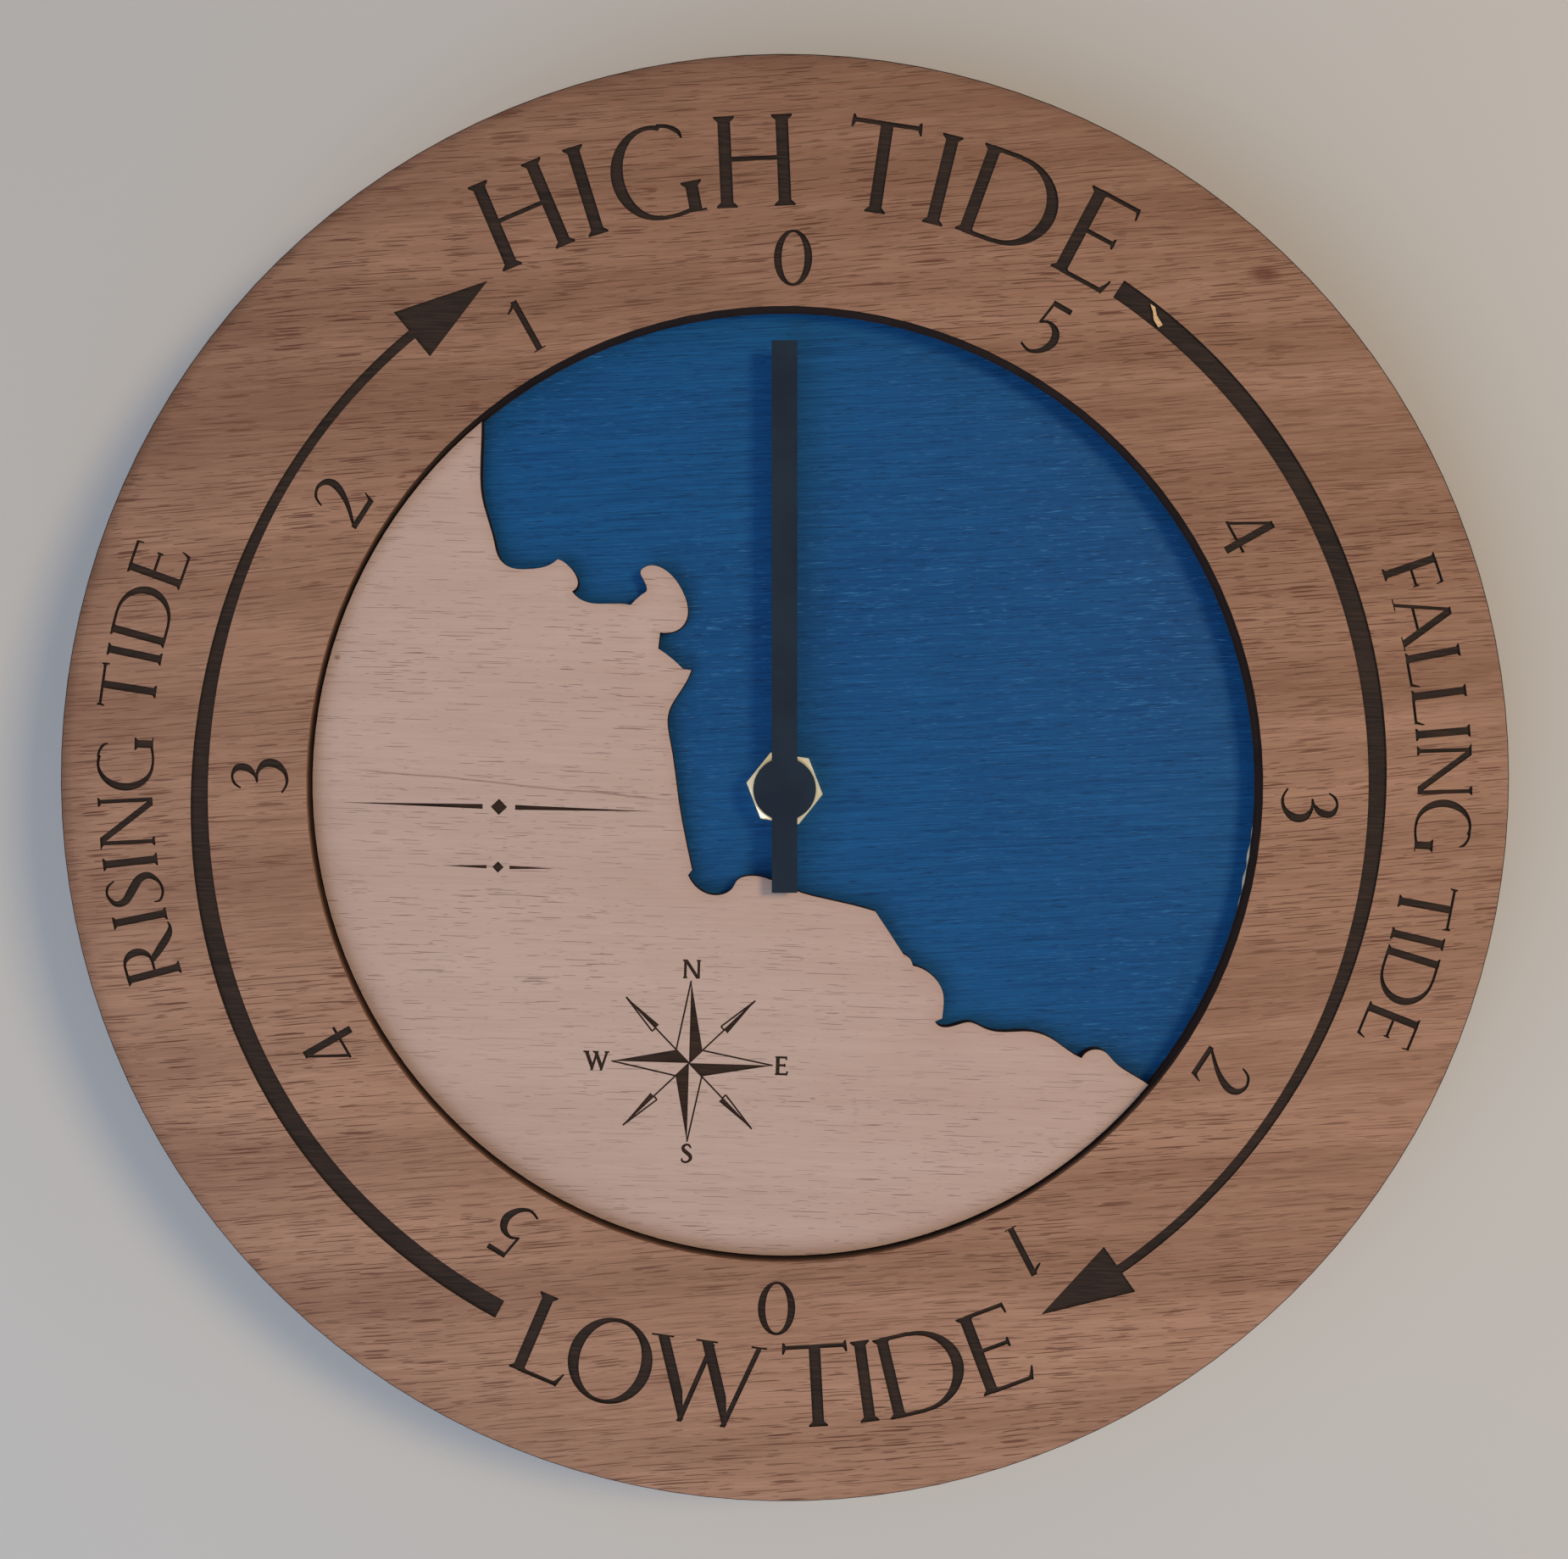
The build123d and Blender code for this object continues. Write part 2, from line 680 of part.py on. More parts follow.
second_idler = arbor_wheel(
    "second_idler",
    second_idler_place,
    [
        (layer(4), second_idler_pinion_teeth, second_module, second_idler_pinion_phase),
        (layer(5), second_idler_teeth, rotor_module, 0),
    ],
    [
        (rear_pivot_back, rear_collar_back, pivot_radius),
        (rear_collar_back, layer(4), collar_radius),
        (layer(4), front_collar_end, arbor_radius),
        (front_collar_end, front_collar_end + pivot_length, pivot_radius),
    ],
    0,
)
rotor_arbor = arbor_wheel(
    "rotor_arbor",
    rotor_place,
    [(layer(5), rotor_teeth, rotor_module, rotor_phase)],
    [
        (rear_pivot_back, rear_collar_back, pivot_radius),
        (rear_collar_back, magnet_front, arbor_radius),
        (magnet_front, magnet_front + pivot_length, pivot_radius),
    ],
    0,
)

# Motor
with BuildPart() as rotor_magnet:
    with BuildSketch(facing(magnet_back, rotor_place)):
        Circle(magnet_diameter / 2)
        Circle(arbor_radius + press_gap, mode=Mode.SUBTRACT)
    extrude(amount=magnet_length)
rotor_magnet.part.label = "rotor_magnet"
export_step(rotor_magnet.part, "parts/rotor_magnet.step")

arm_length = coil_rise + stator_head
with BuildPart() as stator:
    with BuildSketch(facing(stator_back, rotor_place)):
        Rectangle(stator_span + stator_arm, stator_bar)
        with Locations((-stator_span / 2, arm_length / 2), (stator_span / 2, arm_length / 2)):
            Rectangle(stator_arm, arm_length)
        with Locations((-stator_span / 2, coil_rise), (stator_span / 2, coil_rise)):
            Circle(peg_radius + run_gap, mode=Mode.SUBTRACT)
        Circle(magnet_diameter / 2 + stator_gap, mode=Mode.SUBTRACT)
    extrude(amount=stator_thick)
stator.part.label = "stator"
export_step(stator.part, "parts/stator.step")

with BuildPart() as coil_core:
    with BuildSketch(facing(core_back, rotor_place)):
        with Locations((0, coil_rise)):
            Rectangle(stator_span + stator_arm, core_width)
        with Locations((-stator_span / 2, coil_rise), (stator_span / 2, coil_rise)):
            Circle(peg_radius + run_gap, mode=Mode.SUBTRACT)
    extrude(amount=core_thick)
coil_core.part.label = "coil_core"
export_step(coil_core.part, "parts/coil_core.step")

coil_v = rotor_place[1] + coil_rise
bobbin_half = (stator_span - stator_arm) / 2 - bobbin_gap
spool_half = bobbin_half - flange_thick
with BuildPart() as coil_bobbin:
    with BuildSketch(sideways(rotor_place[0] + bobbin_half, coil_depth, coil_v)):
        Circle(bobbin_diameter / 2)
    extrude(amount=2 * bobbin_half)
    for flange_u in (rotor_place[0] + bobbin_half, rotor_place[0] - spool_half):
        with BuildSketch(sideways(flange_u, coil_depth, coil_v)):
            Circle(flange_diameter / 2)
        extrude(amount=flange_thick)
    with BuildSketch(sideways(rotor_place[0] + bobbin_half, coil_depth, coil_v)):
        Rectangle(core_thick + 2 * run_gap, core_width + 2 * run_gap)
    extrude(amount=2 * bobbin_half, mode=Mode.SUBTRACT)
coil_bobbin.part.label = "coil_bobbin"
export_step(coil_bobbin.part, "parts/coil_bobbin.step")

with BuildPart() as coil_winding:
    with BuildSketch(sideways(rotor_place[0] + spool_half - run_gap, coil_depth, coil_v)):
        Circle(winding_diameter / 2)
        Circle(bobbin_diameter / 2 + press_gap, mode=Mode.SUBTRACT)
    extrude(amount=2 * (spool_half - run_gap))
coil_winding.part.label = "coil_winding"
export_step(coil_winding.part, "parts/coil_winding.step")

# Circuit on the back of the bridge
board_left = board_inset - room_half
board_low = room_low + board_inset
board_middle = (board_left + board_width / 2, board_low + board_height / 2)
with BuildPart() as circuit_board:
    with BuildSketch(facing(board_back, board_middle)):
        Rectangle(board_width, board_height)
    extrude(amount=board_thick)
circuit_board.part.label = "circuit_board"
export_step(circuit_board.part, "parts/circuit_board.step")

with BuildPart() as chip_blob:
    with BuildSketch(facing(board_back - blob_height, board_middle)):
        Circle(blob_diameter / 2)
    extrude(amount=blob_height)
    chamfer(chip_blob.part.edges().group_by(Axis.Y)[-1], length=blob_bevel)
chip_blob.part.label = "chip_blob"
export_step(chip_blob.part, "parts/chip_blob.step")

crystal_v = board_low + board_height - crystal_inset
crystal_u = board_left + crystal_inset + crystal_length
with BuildPart() as quartz_crystal:
    with BuildSketch(sideways(crystal_u, board_back - crystal_diameter / 2, crystal_v)):
        Circle(crystal_diameter / 2)
    extrude(amount=crystal_length)
quartz_crystal.part.label = "quartz_crystal"
export_step(quartz_crystal.part, "parts/quartz_crystal.step")

# Battery cell, button to the right
button_end = room_half - contact_sheet
cell_right = button_end - cell_button_length
with BuildPart() as battery_cell:
    with BuildSketch(sideways(cell_right, cell_depth, cell_v)):
        Circle(cell_diameter / 2)
    extrude(amount=cell_length)
    with BuildSketch(sideways(button_end, cell_depth, cell_v)):
        Circle(cell_button_diameter / 2)
    extrude(amount=cell_button_length)
battery_cell.part.label = "battery_cell"
export_step(battery_cell.part, "parts/battery_cell.step")

# Contacts: an end plate each, and a tab through the partition onto the board
plate_depth = contact_back + contact_width / 2
plate_v = strip_top - contact_height / 2
tab_top_v = room_low + contact_tab_rise
tab_v = (tab_top_v + strip_low) / 2
with BuildPart() as contact_plus:
    with BuildSketch(sideways(room_half, plate_depth, plate_v)):
        Rectangle(contact_width, contact_height)
    extrude(amount=contact_sheet)
    with BuildSketch(facing(contact_back)):
        with Locations(((room_half - contact_reach) / 2, (strip_top + strip_low) / 2)):
            Rectangle(room_half + contact_reach, contact_strip)
        with Locations((contact_tab_width / 2 - contact_reach, tab_v)):
            Rectangle(contact_tab_width, tab_top_v - strip_low)
    extrude(amount=contact_sheet)
contact_plus.part.label = "contact_plus"
export_step(contact_plus.part, "parts/contact_plus.step")

bow_foot = contact_sheet - room_half
bow_crown = cell_right - cell_length
bow_back = cell_depth - contact_width / 2
bow_low = cell_v - contact_height / 2
bow_top = cell_v + contact_height / 2
with BuildPart() as contact_minus:
    with BuildSketch(sideways(bow_foot, cell_depth, cell_v)):
        Rectangle(contact_width, contact_height + 2 * contact_sheet)
    extrude(amount=contact_sheet)
    with BuildSketch(facing(bow_back)):
        with BuildLine():
            ThreePointArc((bow_foot, bow_low), (bow_crown, cell_v), (bow_foot, bow_top))
            Line((bow_foot, bow_top), (bow_foot, bow_top - contact_sheet))
            ThreePointArc(
                (bow_foot, bow_top - contact_sheet),
                (bow_crown - contact_sheet, cell_v),
                (bow_foot, bow_low + contact_sheet),
            )
            Line((bow_foot, bow_low + contact_sheet), (bow_foot, bow_low))
        make_face()
    extrude(amount=contact_width)
    with BuildSketch(facing(contact_back, (contact_tab_width / 2 - room_half, tab_v))):
        Rectangle(contact_tab_width, tab_top_v - strip_low)
    extrude(amount=contact_sheet)
    with BuildSketch(sideways(bow_foot, plate_depth, plate_v)):
        Rectangle(contact_width, contact_height)
    extrude(amount=contact_sheet)
contact_minus.part.label = "contact_minus"
export_step(contact_minus.part, "parts/contact_minus.step")
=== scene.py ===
import math
from collections import namedtuple

import bpy
from mathutils import Matrix, Vector
from mathutils.geometry import delaunay_2d_cdt


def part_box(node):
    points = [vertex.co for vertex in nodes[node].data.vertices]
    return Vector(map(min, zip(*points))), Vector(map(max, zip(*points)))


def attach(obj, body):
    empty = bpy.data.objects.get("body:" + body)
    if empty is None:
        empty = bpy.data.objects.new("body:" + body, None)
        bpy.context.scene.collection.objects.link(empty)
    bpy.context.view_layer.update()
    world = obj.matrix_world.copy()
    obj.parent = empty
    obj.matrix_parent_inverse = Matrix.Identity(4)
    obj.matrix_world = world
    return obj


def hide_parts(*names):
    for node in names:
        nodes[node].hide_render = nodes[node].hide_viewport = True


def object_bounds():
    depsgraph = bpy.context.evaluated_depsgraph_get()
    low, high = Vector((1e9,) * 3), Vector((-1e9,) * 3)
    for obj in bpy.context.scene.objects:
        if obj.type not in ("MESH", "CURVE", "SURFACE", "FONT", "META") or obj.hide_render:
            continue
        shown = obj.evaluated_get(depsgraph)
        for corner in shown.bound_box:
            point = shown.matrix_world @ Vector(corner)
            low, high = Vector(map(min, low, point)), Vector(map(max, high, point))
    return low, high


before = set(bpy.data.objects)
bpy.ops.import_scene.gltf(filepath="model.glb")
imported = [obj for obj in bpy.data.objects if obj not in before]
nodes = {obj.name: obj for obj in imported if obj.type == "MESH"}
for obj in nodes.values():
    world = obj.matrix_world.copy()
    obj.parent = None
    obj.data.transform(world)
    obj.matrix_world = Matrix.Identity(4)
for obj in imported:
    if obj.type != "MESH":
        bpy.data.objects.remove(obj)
cad_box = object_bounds()
scene = bpy.context.scene
MM = 0.001

# Dial: places on it are (u, v) in millimetres from the axis of the hand, u to the right and v up
ring_low, ring_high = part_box("dial_ring")
dial_x = (ring_low.x + ring_high.x) / 2
dial_z = (ring_low.z + ring_high.z) / 2
ring_radius = (ring_high.x - ring_low.x) / 2 / MM

# Engraved plates, in millimetres: depths of the engraving, broken edges and the reach of the scorch
RING_CUT = 0.45
LAND_CUT = 0.25
EDGE_BREAK = 0.06
RIM_BREAK = 0.3
SCORCH_STEPS = (0.5, 1.2, 2.4)
SCORCH_REACH = 3.5
FLAT_REACH = 0.01
MERGE_REACH = 0.0005
PLACE_DIGITS = 4
SHARPEST_LEAN = 0.5

# Material slots of an engraved plate
FACE_SLOT, EDGE_SLOT, MARK_SLOT, CHIP_SLOT = range(4)

# Letter strokes, in shares of the height of a capital
STEM = 0.14
HAIR = 0.05
FOOT_OUT = 0.045
FOOT_HEIGHT = 0.022
BRACKET = 0.04
POINT = 0.03
THIN_POST = HAIR * 1.5
SLANT_HAIR = HAIR * 1.3
SPIKE_CUT = STEM * 2.5
CURVE_STEPS = 28
RIBBON_STEPS = 8

# Words around the ring: start and end in dial degrees, clockwise from the top, then in millimetres the
# radius at the letters' feet, their height and the drop of their circle's centre; some face inward
WORDS = [
    ("HIGH", -28.1, -0.7, 128.2, 18.5, 9.0),
    ("TIDE", 3.6, 28.9, 128.2, 18.5, 9.0),
    ("FALLING", 68.1, 93.8, 130.9, 11.3),
    ("TIDE", 96.7, 111.5, 129.4, 11.3),
    ("LOW", 204.1, 180.4, 134.1, 17.4, 0.0, True),
    ("TIDE", 178.4, 154.9, 134.1, 17.4, 0.0, True),
    ("RISING", 251.4, 272.8, 130.9, 11.4),
    ("TIDE", 275.2, 289.8, 131.4, 11.4),
]

# Hours between the tides, set out a little unevenly, by dial degrees
NUMBERS = [
    ("0", -0.8), ("5", 28.0), ("4", 59.0), ("3", 90.1), ("2", 121.4), ("1", 151.0),
    ("0", 179.2), ("5", 210.0), ("4", 238.5), ("3", 269.8), ("2", 301.5), ("1", 329.1),
]
NUMBER_RADIUS = 103.2
NUMBER_HEIGHT = 11.2

# Arrows along the ring: dial degrees of tail and tip, then the radius of the spine at each.
# The spine runs on into the head by the overlap, in degrees; draw-in and taper are shares of the way along.
ARROWS = [(32.0, 152.3, 123.2, 122.5), (207.0, 328.0, 124.3, 120.6)]
ARROW_TAIL_WIDTH = 4.1
ARROW_NECK_WIDTH = 2.05
ARROW_HEAD_LENGTH = 19.0
ARROW_HEAD_WIDTH = 11.6
ARROW_OVERLAP = 1
ARROW_DRAW_IN = (0.15, 0.68)
ARROW_TAPER = (0.35, 0.9)
ARROW_STEPS = 60

# Flaws in the wood, by their places on the dial, with half sizes or a width in millimetres
RING_KNOT = ((94.9, 108.4), 4.0, 2.2)
LAND_SPECK = ((-94.0, 24.6), 0.9, 0.7)
LAND_SEAM = ((-92.0, 1.6), (-22.4, -3.3), 0.3)
VENEER_CHIP = [
    (71.9, 101.6), (72.9, 101.0), (73.3, 99.3), (74.6, 97.4), (73.7, 96.9), (72.7, 98.4), (72.5, 100.0),
]

# Dried glue at the foot of the opening: dial degrees, sizes in millimetres, and the waver of its edge
GLUE_TURNS = (92.5, 103.5)
GLUE_WIDTH = 0.5
GLUE_HEIGHT = 0.4
GLUE_STEPS = 40
GLUE_WAVES = 7
GLUE_WAVE_SHARE = 0.35

# Ornaments on the land: a lozenge between two tapering rules
ORNAMENTS = [((-59.6, -5.6), 33.0, 3.4), ((-59.5, -18.2), 12.0, 2.4)]
ORNAMENT_RULE_SHARE = 0.3
ORNAMENT_GAP_SHARE = 0.5

# Compass rose on the land
ROSE_PLACE = (-18.4, -58.3)
ROSE_REACHES = (17.4, 17.6, 16.7, 16.3)
ROSE_SHOULDER = 3.9
ROSE_LINE = 0.35
ROSE_SPEAR_REACH = 19.2
ROSE_SPEAR_START = 10.2
ROSE_SPEAR_WIDTH = 2.0
ROSE_LETTER_HEIGHT = 3.7
ROSE_LETTER_GAP = 0.6
ROSE_LETTER_BOLD = 0.14


def srgb(red, green, blue):
    """Linear colour of an 8-bit screen colour."""
    shares = [value / 255 for value in (red, green, blue)]
    linear = [s / 12.92 if s <= 0.04045 else ((s + 0.055) / 1.055) ** 2.4 for s in shares]
    return (*linear, 1.0)


def compass(turn):
    """Outward and clockwise directions on the dial at a dial angle in degrees."""
    angle = math.radians(turn)
    return Vector((math.sin(angle), math.cos(angle))), Vector((math.cos(angle), -math.sin(angle)))


# Strokes: each function gives a list of polygons in capital heights

def box_stroke(x_low, x_high, y_low, y_high):
    return [[(x_low, y_low), (x_high, y_low), (x_high, y_high), (x_low, y_high)]]


def foot(x, y, width=STEM, inward=1):
    """Bracketed serif at the lower end of a stem, or with inward -1 at its upper end."""
    half = width / 2
    wide = half + FOOT_OUT
    shelf = y + inward * FOOT_HEIGHT
    top = shelf + inward * BRACKET
    return [[
        (x - wide, y), (x + wide, y), (x + wide, shelf),
        (x + half, top), (x - half, top), (x - wide, shelf),
    ]]


def post(x, width=STEM):
    """Upright stem with a serif at both ends."""
    return box_stroke(x - width / 2, x + width / 2, 0, 1) + foot(x, 0, width) + foot(x, 1, width, -1)


def beam(x_low, x_high, y, width=HAIR):
    return box_stroke(x_low, x_high, y - width / 2, y + width / 2)


def slant(x_from, y_from, x_to, y_to, width=STEM):
    half = width / 2
    return [[(x_from - half, y_from), (x_from + half, y_from), (x_to + half, y_to), (x_to - half, y_to)]]


def hair(x_from, y_from, x_to, y_to):
    return slant(x_from, y_from, x_to, y_to, SLANT_HAIR)


def spike(x_top, x_point):
    """Thick slanting stroke that comes to a point below the line."""
    half = STEM / 2
    lean = (x_point - x_top + half) / (1 + POINT)
    x_cut = x_top + half + lean * (1 - SPIKE_CUT)
    return [[
        (x_top - half, 1), (x_top + half, 1), (x_cut, SPIKE_CUT),
        (x_point + HAIR, 0), (x_point, -POINT),
    ]]


def bowl(x, y, half_width, half_height, turn_from, turn_to):
    """Part of an oval, thick at its sides and thin at its top and bottom."""
    inner_width = half_width - STEM
    inner_height = half_height - HAIR
    outer = []
    inner = []
    for step in range(CURVE_STEPS + 1):
        angle = math.radians(turn_from + (turn_to - turn_from) * step / CURVE_STEPS)
        outer.append((x + half_width * math.cos(angle), y + half_height * math.sin(angle)))
        inner.append((x + inner_width * math.cos(angle), y + inner_height * math.sin(angle)))
    return [outer + inner[::-1]]


def oval(x, y, half_width, half_height):
    return bowl(x, y, half_width, half_height, -90, 90) + bowl(x, y, half_width, half_height, 90, 270)


def smooth(rows, steps):
    """Points on a smooth curve through rows of numbers."""
    padded = [rows[0], *rows, rows[-1]]
    points = []
    for index in range(1, len(padded) - 2):
        before, start, end, after = padded[index - 1:index + 3]
        for step in range(steps):
            t = step / steps
            points.append([
                (
                    2 * q + (r - p) * t + (2 * p - 5 * q + 4 * r - s) * t ** 2
                    + (3 * q - p - 3 * r + s) * t ** 3
                ) / 2
                for p, q, r, s in zip(before, start, end, after)
            ])
    points.append(list(rows[-1]))
    return points


def ribbon(*rows):
    """Smooth stroke through rows of x, y and width."""
    spine = smooth(rows, RIBBON_STEPS)
    left = []
    right = []
    for index, (x, y, width) in enumerate(spine):
        ahead = spine[min(index + 1, len(spine) - 1)]
        behind = spine[max(index - 1, 0)]
        along = Vector((ahead[0] - behind[0], ahead[1] - behind[1])).normalized()
        left.append((x - along.y * width / 2, y + along.x * width / 2))
        right.append((x + along.y * width / 2, y - along.x * width / 2))
    return [left + right[::-1]]


# Letters and numbers: width, then strokes, in capital heights
GLYPH_SHARES = {
    "H": (0.9, [post(0.13), post(0.77), beam(0.13, 0.77, 0.53)]),
    "I": (0.25, [post(0.125)]),
    "T": (0.79, [
        box_stroke(0.395 - STEM / 2, 0.395 + STEM / 2, 0, 0.98),
        foot(0.395, 0), beam(0.03, 0.76, 0.98),
        ribbon((0.02, 1.04, 0.02), (0.03, 0.98, 0.05), (0.01, 0.9, 0.02)),
        ribbon((0.77, 1.04, 0.02), (0.76, 0.98, 0.05), (0.78, 0.9, 0.02)),
    ]),
    "E": (0.69, [
        post(0.125), beam(0.125, 0.6, 0.98), beam(0.125, 0.52, 0.53), beam(0.125, 0.64, 0.02),
        ribbon((0.58, 1.0, 0.06), (0.6, 0.94, 0.035), (0.61, 0.87, 0.02)),
        ribbon((0.52, 0.59, 0.02), (0.51, 0.53, 0.045), (0.52, 0.47, 0.02)),
        ribbon((0.61, 0.0, 0.07), (0.65, 0.08, 0.04), (0.68, 0.16, 0.02)),
    ]),
    "F": (0.56, [
        post(0.125), beam(0.125, 0.57, 0.98), beam(0.125, 0.5, 0.51),
        ribbon((0.55, 1.0, 0.06), (0.57, 0.94, 0.035), (0.58, 0.87, 0.02)),
        ribbon((0.5, 0.57, 0.02), (0.49, 0.51, 0.045), (0.5, 0.45, 0.02)),
    ]),
    "L": (0.66, [
        post(0.125), beam(0.125, 0.62, 0.02),
        ribbon((0.59, 0.0, 0.07), (0.63, 0.09, 0.04), (0.66, 0.17, 0.02)),
    ]),
    "D": (1.03, [
        post(0.125), beam(0.1, 0.45, 0.98), beam(0.1, 0.45, 0.02), bowl(0.45, 0.5, 0.57, 0.5, -90, 90),
    ]),
    "O": (1.02, [oval(0.51, 0.5, 0.51, 0.53)]),
    "G": (0.97, [
        bowl(0.49, 0.5, 0.49, 0.52, 70, 270),
        ribbon((0.6, 1.0, 0.04), (0.72, 0.97, 0.045), (0.82, 0.9, 0.05), (0.85, 0.82, 0.02)),
        ribbon((0.47, 0.0, 0.045), (0.64, 0.0, 0.045), (0.82, 0.03, 0.05)),
        box_stroke(0.86 - STEM / 2, 0.86 + STEM / 2, 0.01, 0.31),
        foot(0.86, 0.34, STEM, -1), beam(0.8, 0.98, 0.01, FOOT_HEIGHT),
    ]),
    "W": (1.42, [
        spike(0.15, 0.47), hair(0.47, -POINT, 0.75, 0.96),
        spike(0.68, 1.0), hair(1.0, -POINT, 1.32, 1),
        beam(0.01, 0.28, 0.99, FOOT_HEIGHT), beam(0.55, 0.81, 0.99, FOOT_HEIGHT),
        beam(1.22, 1.41, 0.99, FOOT_HEIGHT),
    ]),
    "N": (0.98, [
        post(0.14, THIN_POST), slant(0.17, 1, 0.86, 0), box_stroke(0.86, 0.86 + THIN_POST, 0, 1),
        foot(0.89, 1, THIN_POST, -1), beam(0.03, 0.2, 0.99, FOOT_HEIGHT),
    ]),
    "A": (0.98, [
        hair(0.11, 0, 0.45, 1), slant(0.46, 1, 0.85, 0), beam(0.22, 0.71, 0.33),
        beam(0.0, 0.22, 0.01, FOOT_HEIGHT), beam(0.71, 0.98, 0.01, FOOT_HEIGHT),
    ]),
    "R": (0.94, [
        post(0.125), beam(0.1, 0.38, 0.98), beam(0.1, 0.38, 0.47),
        bowl(0.38, 0.725, 0.27, 0.275, -90, 90),
        ribbon(
            (0.36, 0.48, 0.1), (0.55, 0.26, 0.14), (0.74, 0.06, 0.13), (0.88, -0.01, 0.06),
            (0.98, 0.01, 0.02),
        ),
    ]),
    "S": (0.6, [ribbon(
        (0.52, 0.84, 0.03), (0.43, 0.97, 0.05), (0.27, 1.0, 0.05), (0.11, 0.88, 0.1), (0.13, 0.7, 0.14),
        (0.31, 0.54, 0.16), (0.49, 0.38, 0.15), (0.53, 0.2, 0.12), (0.4, 0.04, 0.06), (0.22, -0.01, 0.05),
        (0.06, 0.06, 0.045), (0.04, 0.18, 0.02),
    )]),
    "0": (0.72, [oval(0.36, 0.5, 0.35, 0.51)]),
    "1": (0.4, [
        box_stroke(0.16, 0.28, 0, 1),
        ribbon((0.22, 0.98, 0.06), (0.11, 0.89, 0.05), (0.02, 0.84, 0.03)),
        beam(0.1, 0.34, 0.01, FOOT_HEIGHT),
    ]),
    "2": (0.7, [
        ribbon(
            (0.05, 0.76, 0.03), (0.13, 0.93, 0.05), (0.31, 1.0, 0.06), (0.48, 0.9, 0.12),
            (0.5, 0.7, 0.14), (0.35, 0.4, 0.09), (0.06, 0.06, 0.05),
        ),
        beam(0.03, 0.65, 0.05, 0.1), ribbon((0.62, 0.06, 0.08), (0.66, 0.14, 0.04), (0.69, 0.22, 0.02)),
    ]),
    "3": (0.66, [
        ribbon(
            (0.09, 0.84, 0.03), (0.18, 0.96, 0.05), (0.33, 1.0, 0.05), (0.47, 0.9, 0.12),
            (0.46, 0.72, 0.13), (0.33, 0.58, 0.06), (0.2, 0.54, 0.035),
        ),
        ribbon(
            (0.2, 0.54, 0.035), (0.4, 0.53, 0.06), (0.55, 0.4, 0.14), (0.55, 0.2, 0.15),
            (0.4, 0.03, 0.08), (0.2, -0.01, 0.05), (0.02, 0.08, 0.035),
        ),
    ]),
    "4": (0.72, [
        slant(0.08, 0.27, 0.48, 1, 0.06), box_stroke(0.43, 0.43 + STEM, 0, 1),
        beam(0.04, 0.69, 0.27, 0.05),
    ]),
    "5": (0.64, [
        beam(0.18, 0.56, 0.95, 0.1), slant(0.14, 0.52, 0.21, 0.98, 0.05),
        ribbon(
            (0.13, 0.53, 0.04), (0.29, 0.6, 0.06), (0.47, 0.52, 0.13), (0.53, 0.32, 0.15),
            (0.42, 0.1, 0.1), (0.22, -0.02, 0.06), (0.02, 0.04, 0.04),
        ),
    ]),
}


def placed_letter(letter, origin, along, up, height):
    """Polygons of one letter, centred on its origin along its line."""
    width, strokes = GLYPH_SHARES[letter]
    return [
        [origin + along * ((x - width / 2) * height) + up * (y * height) for x, y in polygon]
        for stroke in strokes
        for polygon in stroke
    ]


def arc_word(text, start, end, radius, height, drop=0.0, inward=False):
    """A word bent round the ring, its letters spread evenly between two angles."""
    side = -1 if inward else 1
    centre = Vector((0, -drop))
    middle_radius = radius + side * height / 2
    widths = [GLYPH_SHARES[letter][0] * height for letter in text]
    run = math.radians(abs(end - start)) * middle_radius
    gap = (run - sum(widths)) / (len(text) - 1)
    polygons = []
    reached = 0
    for letter, width in zip(text, widths):
        turn = start + side * math.degrees((reached + width / 2) / middle_radius)
        out, clockwise = compass(turn)
        origin = centre + out * radius
        polygons += placed_letter(letter, origin, clockwise * side, out * side, height)
        reached += width + gap
    return polygons


def eased(share, low, high):
    """A share of the way along an arrow, held at both ends and smooth between."""
    part = min(max((share - low) / (high - low), 0), 1)
    return part * part * (3 - 2 * part)


def arrow(tail, tip, tail_radius, tip_radius):
    """A bent arrow that narrows and draws in from its tail to its head."""
    head_start = tip - math.degrees(ARROW_HEAD_LENGTH / tip_radius)
    draw_in = tip_radius - tail_radius
    taper = ARROW_NECK_WIDTH - ARROW_TAIL_WIDTH
    outer = []
    inner = []
    for step in range(ARROW_STEPS + 1):
        share = step / ARROW_STEPS
        radius = tail_radius + draw_in * eased(share, *ARROW_DRAW_IN)
        half = (ARROW_TAIL_WIDTH + taper * eased(share, *ARROW_TAPER)) / 2
        out = compass(tail + (head_start + ARROW_OVERLAP - tail) * share)[0]
        outer.append(out * (radius + half))
        inner.append(out * (radius - half))
    base = compass(head_start)[0]
    head = [
        base * (tip_radius + ARROW_HEAD_WIDTH / 2),
        compass(tip)[0] * tip_radius,
        base * (tip_radius - ARROW_HEAD_WIDTH / 2),
    ]
    return [outer + inner[::-1], head]


def ornament(place, reach, height):
    """A lozenge between two tapering rules."""
    middle = Vector(place)
    half = height / 2
    rule = half * ORNAMENT_RULE_SHARE
    start = half + height * ORNAMENT_GAP_SHARE
    shapes = [[(-half, 0), (0, -half), (half, 0), (0, half)]]
    for side in (-1, 1):
        shapes.append([(side * start, -rule), (side * reach, 0), (side * start, rule)])
    return [[middle + Vector(point) for point in shape] for shape in shapes]


def line(start, end, width):
    across = (end - start).normalized().orthogonal() * width / 2
    return [[start - across, end - across, end + across, start + across]]


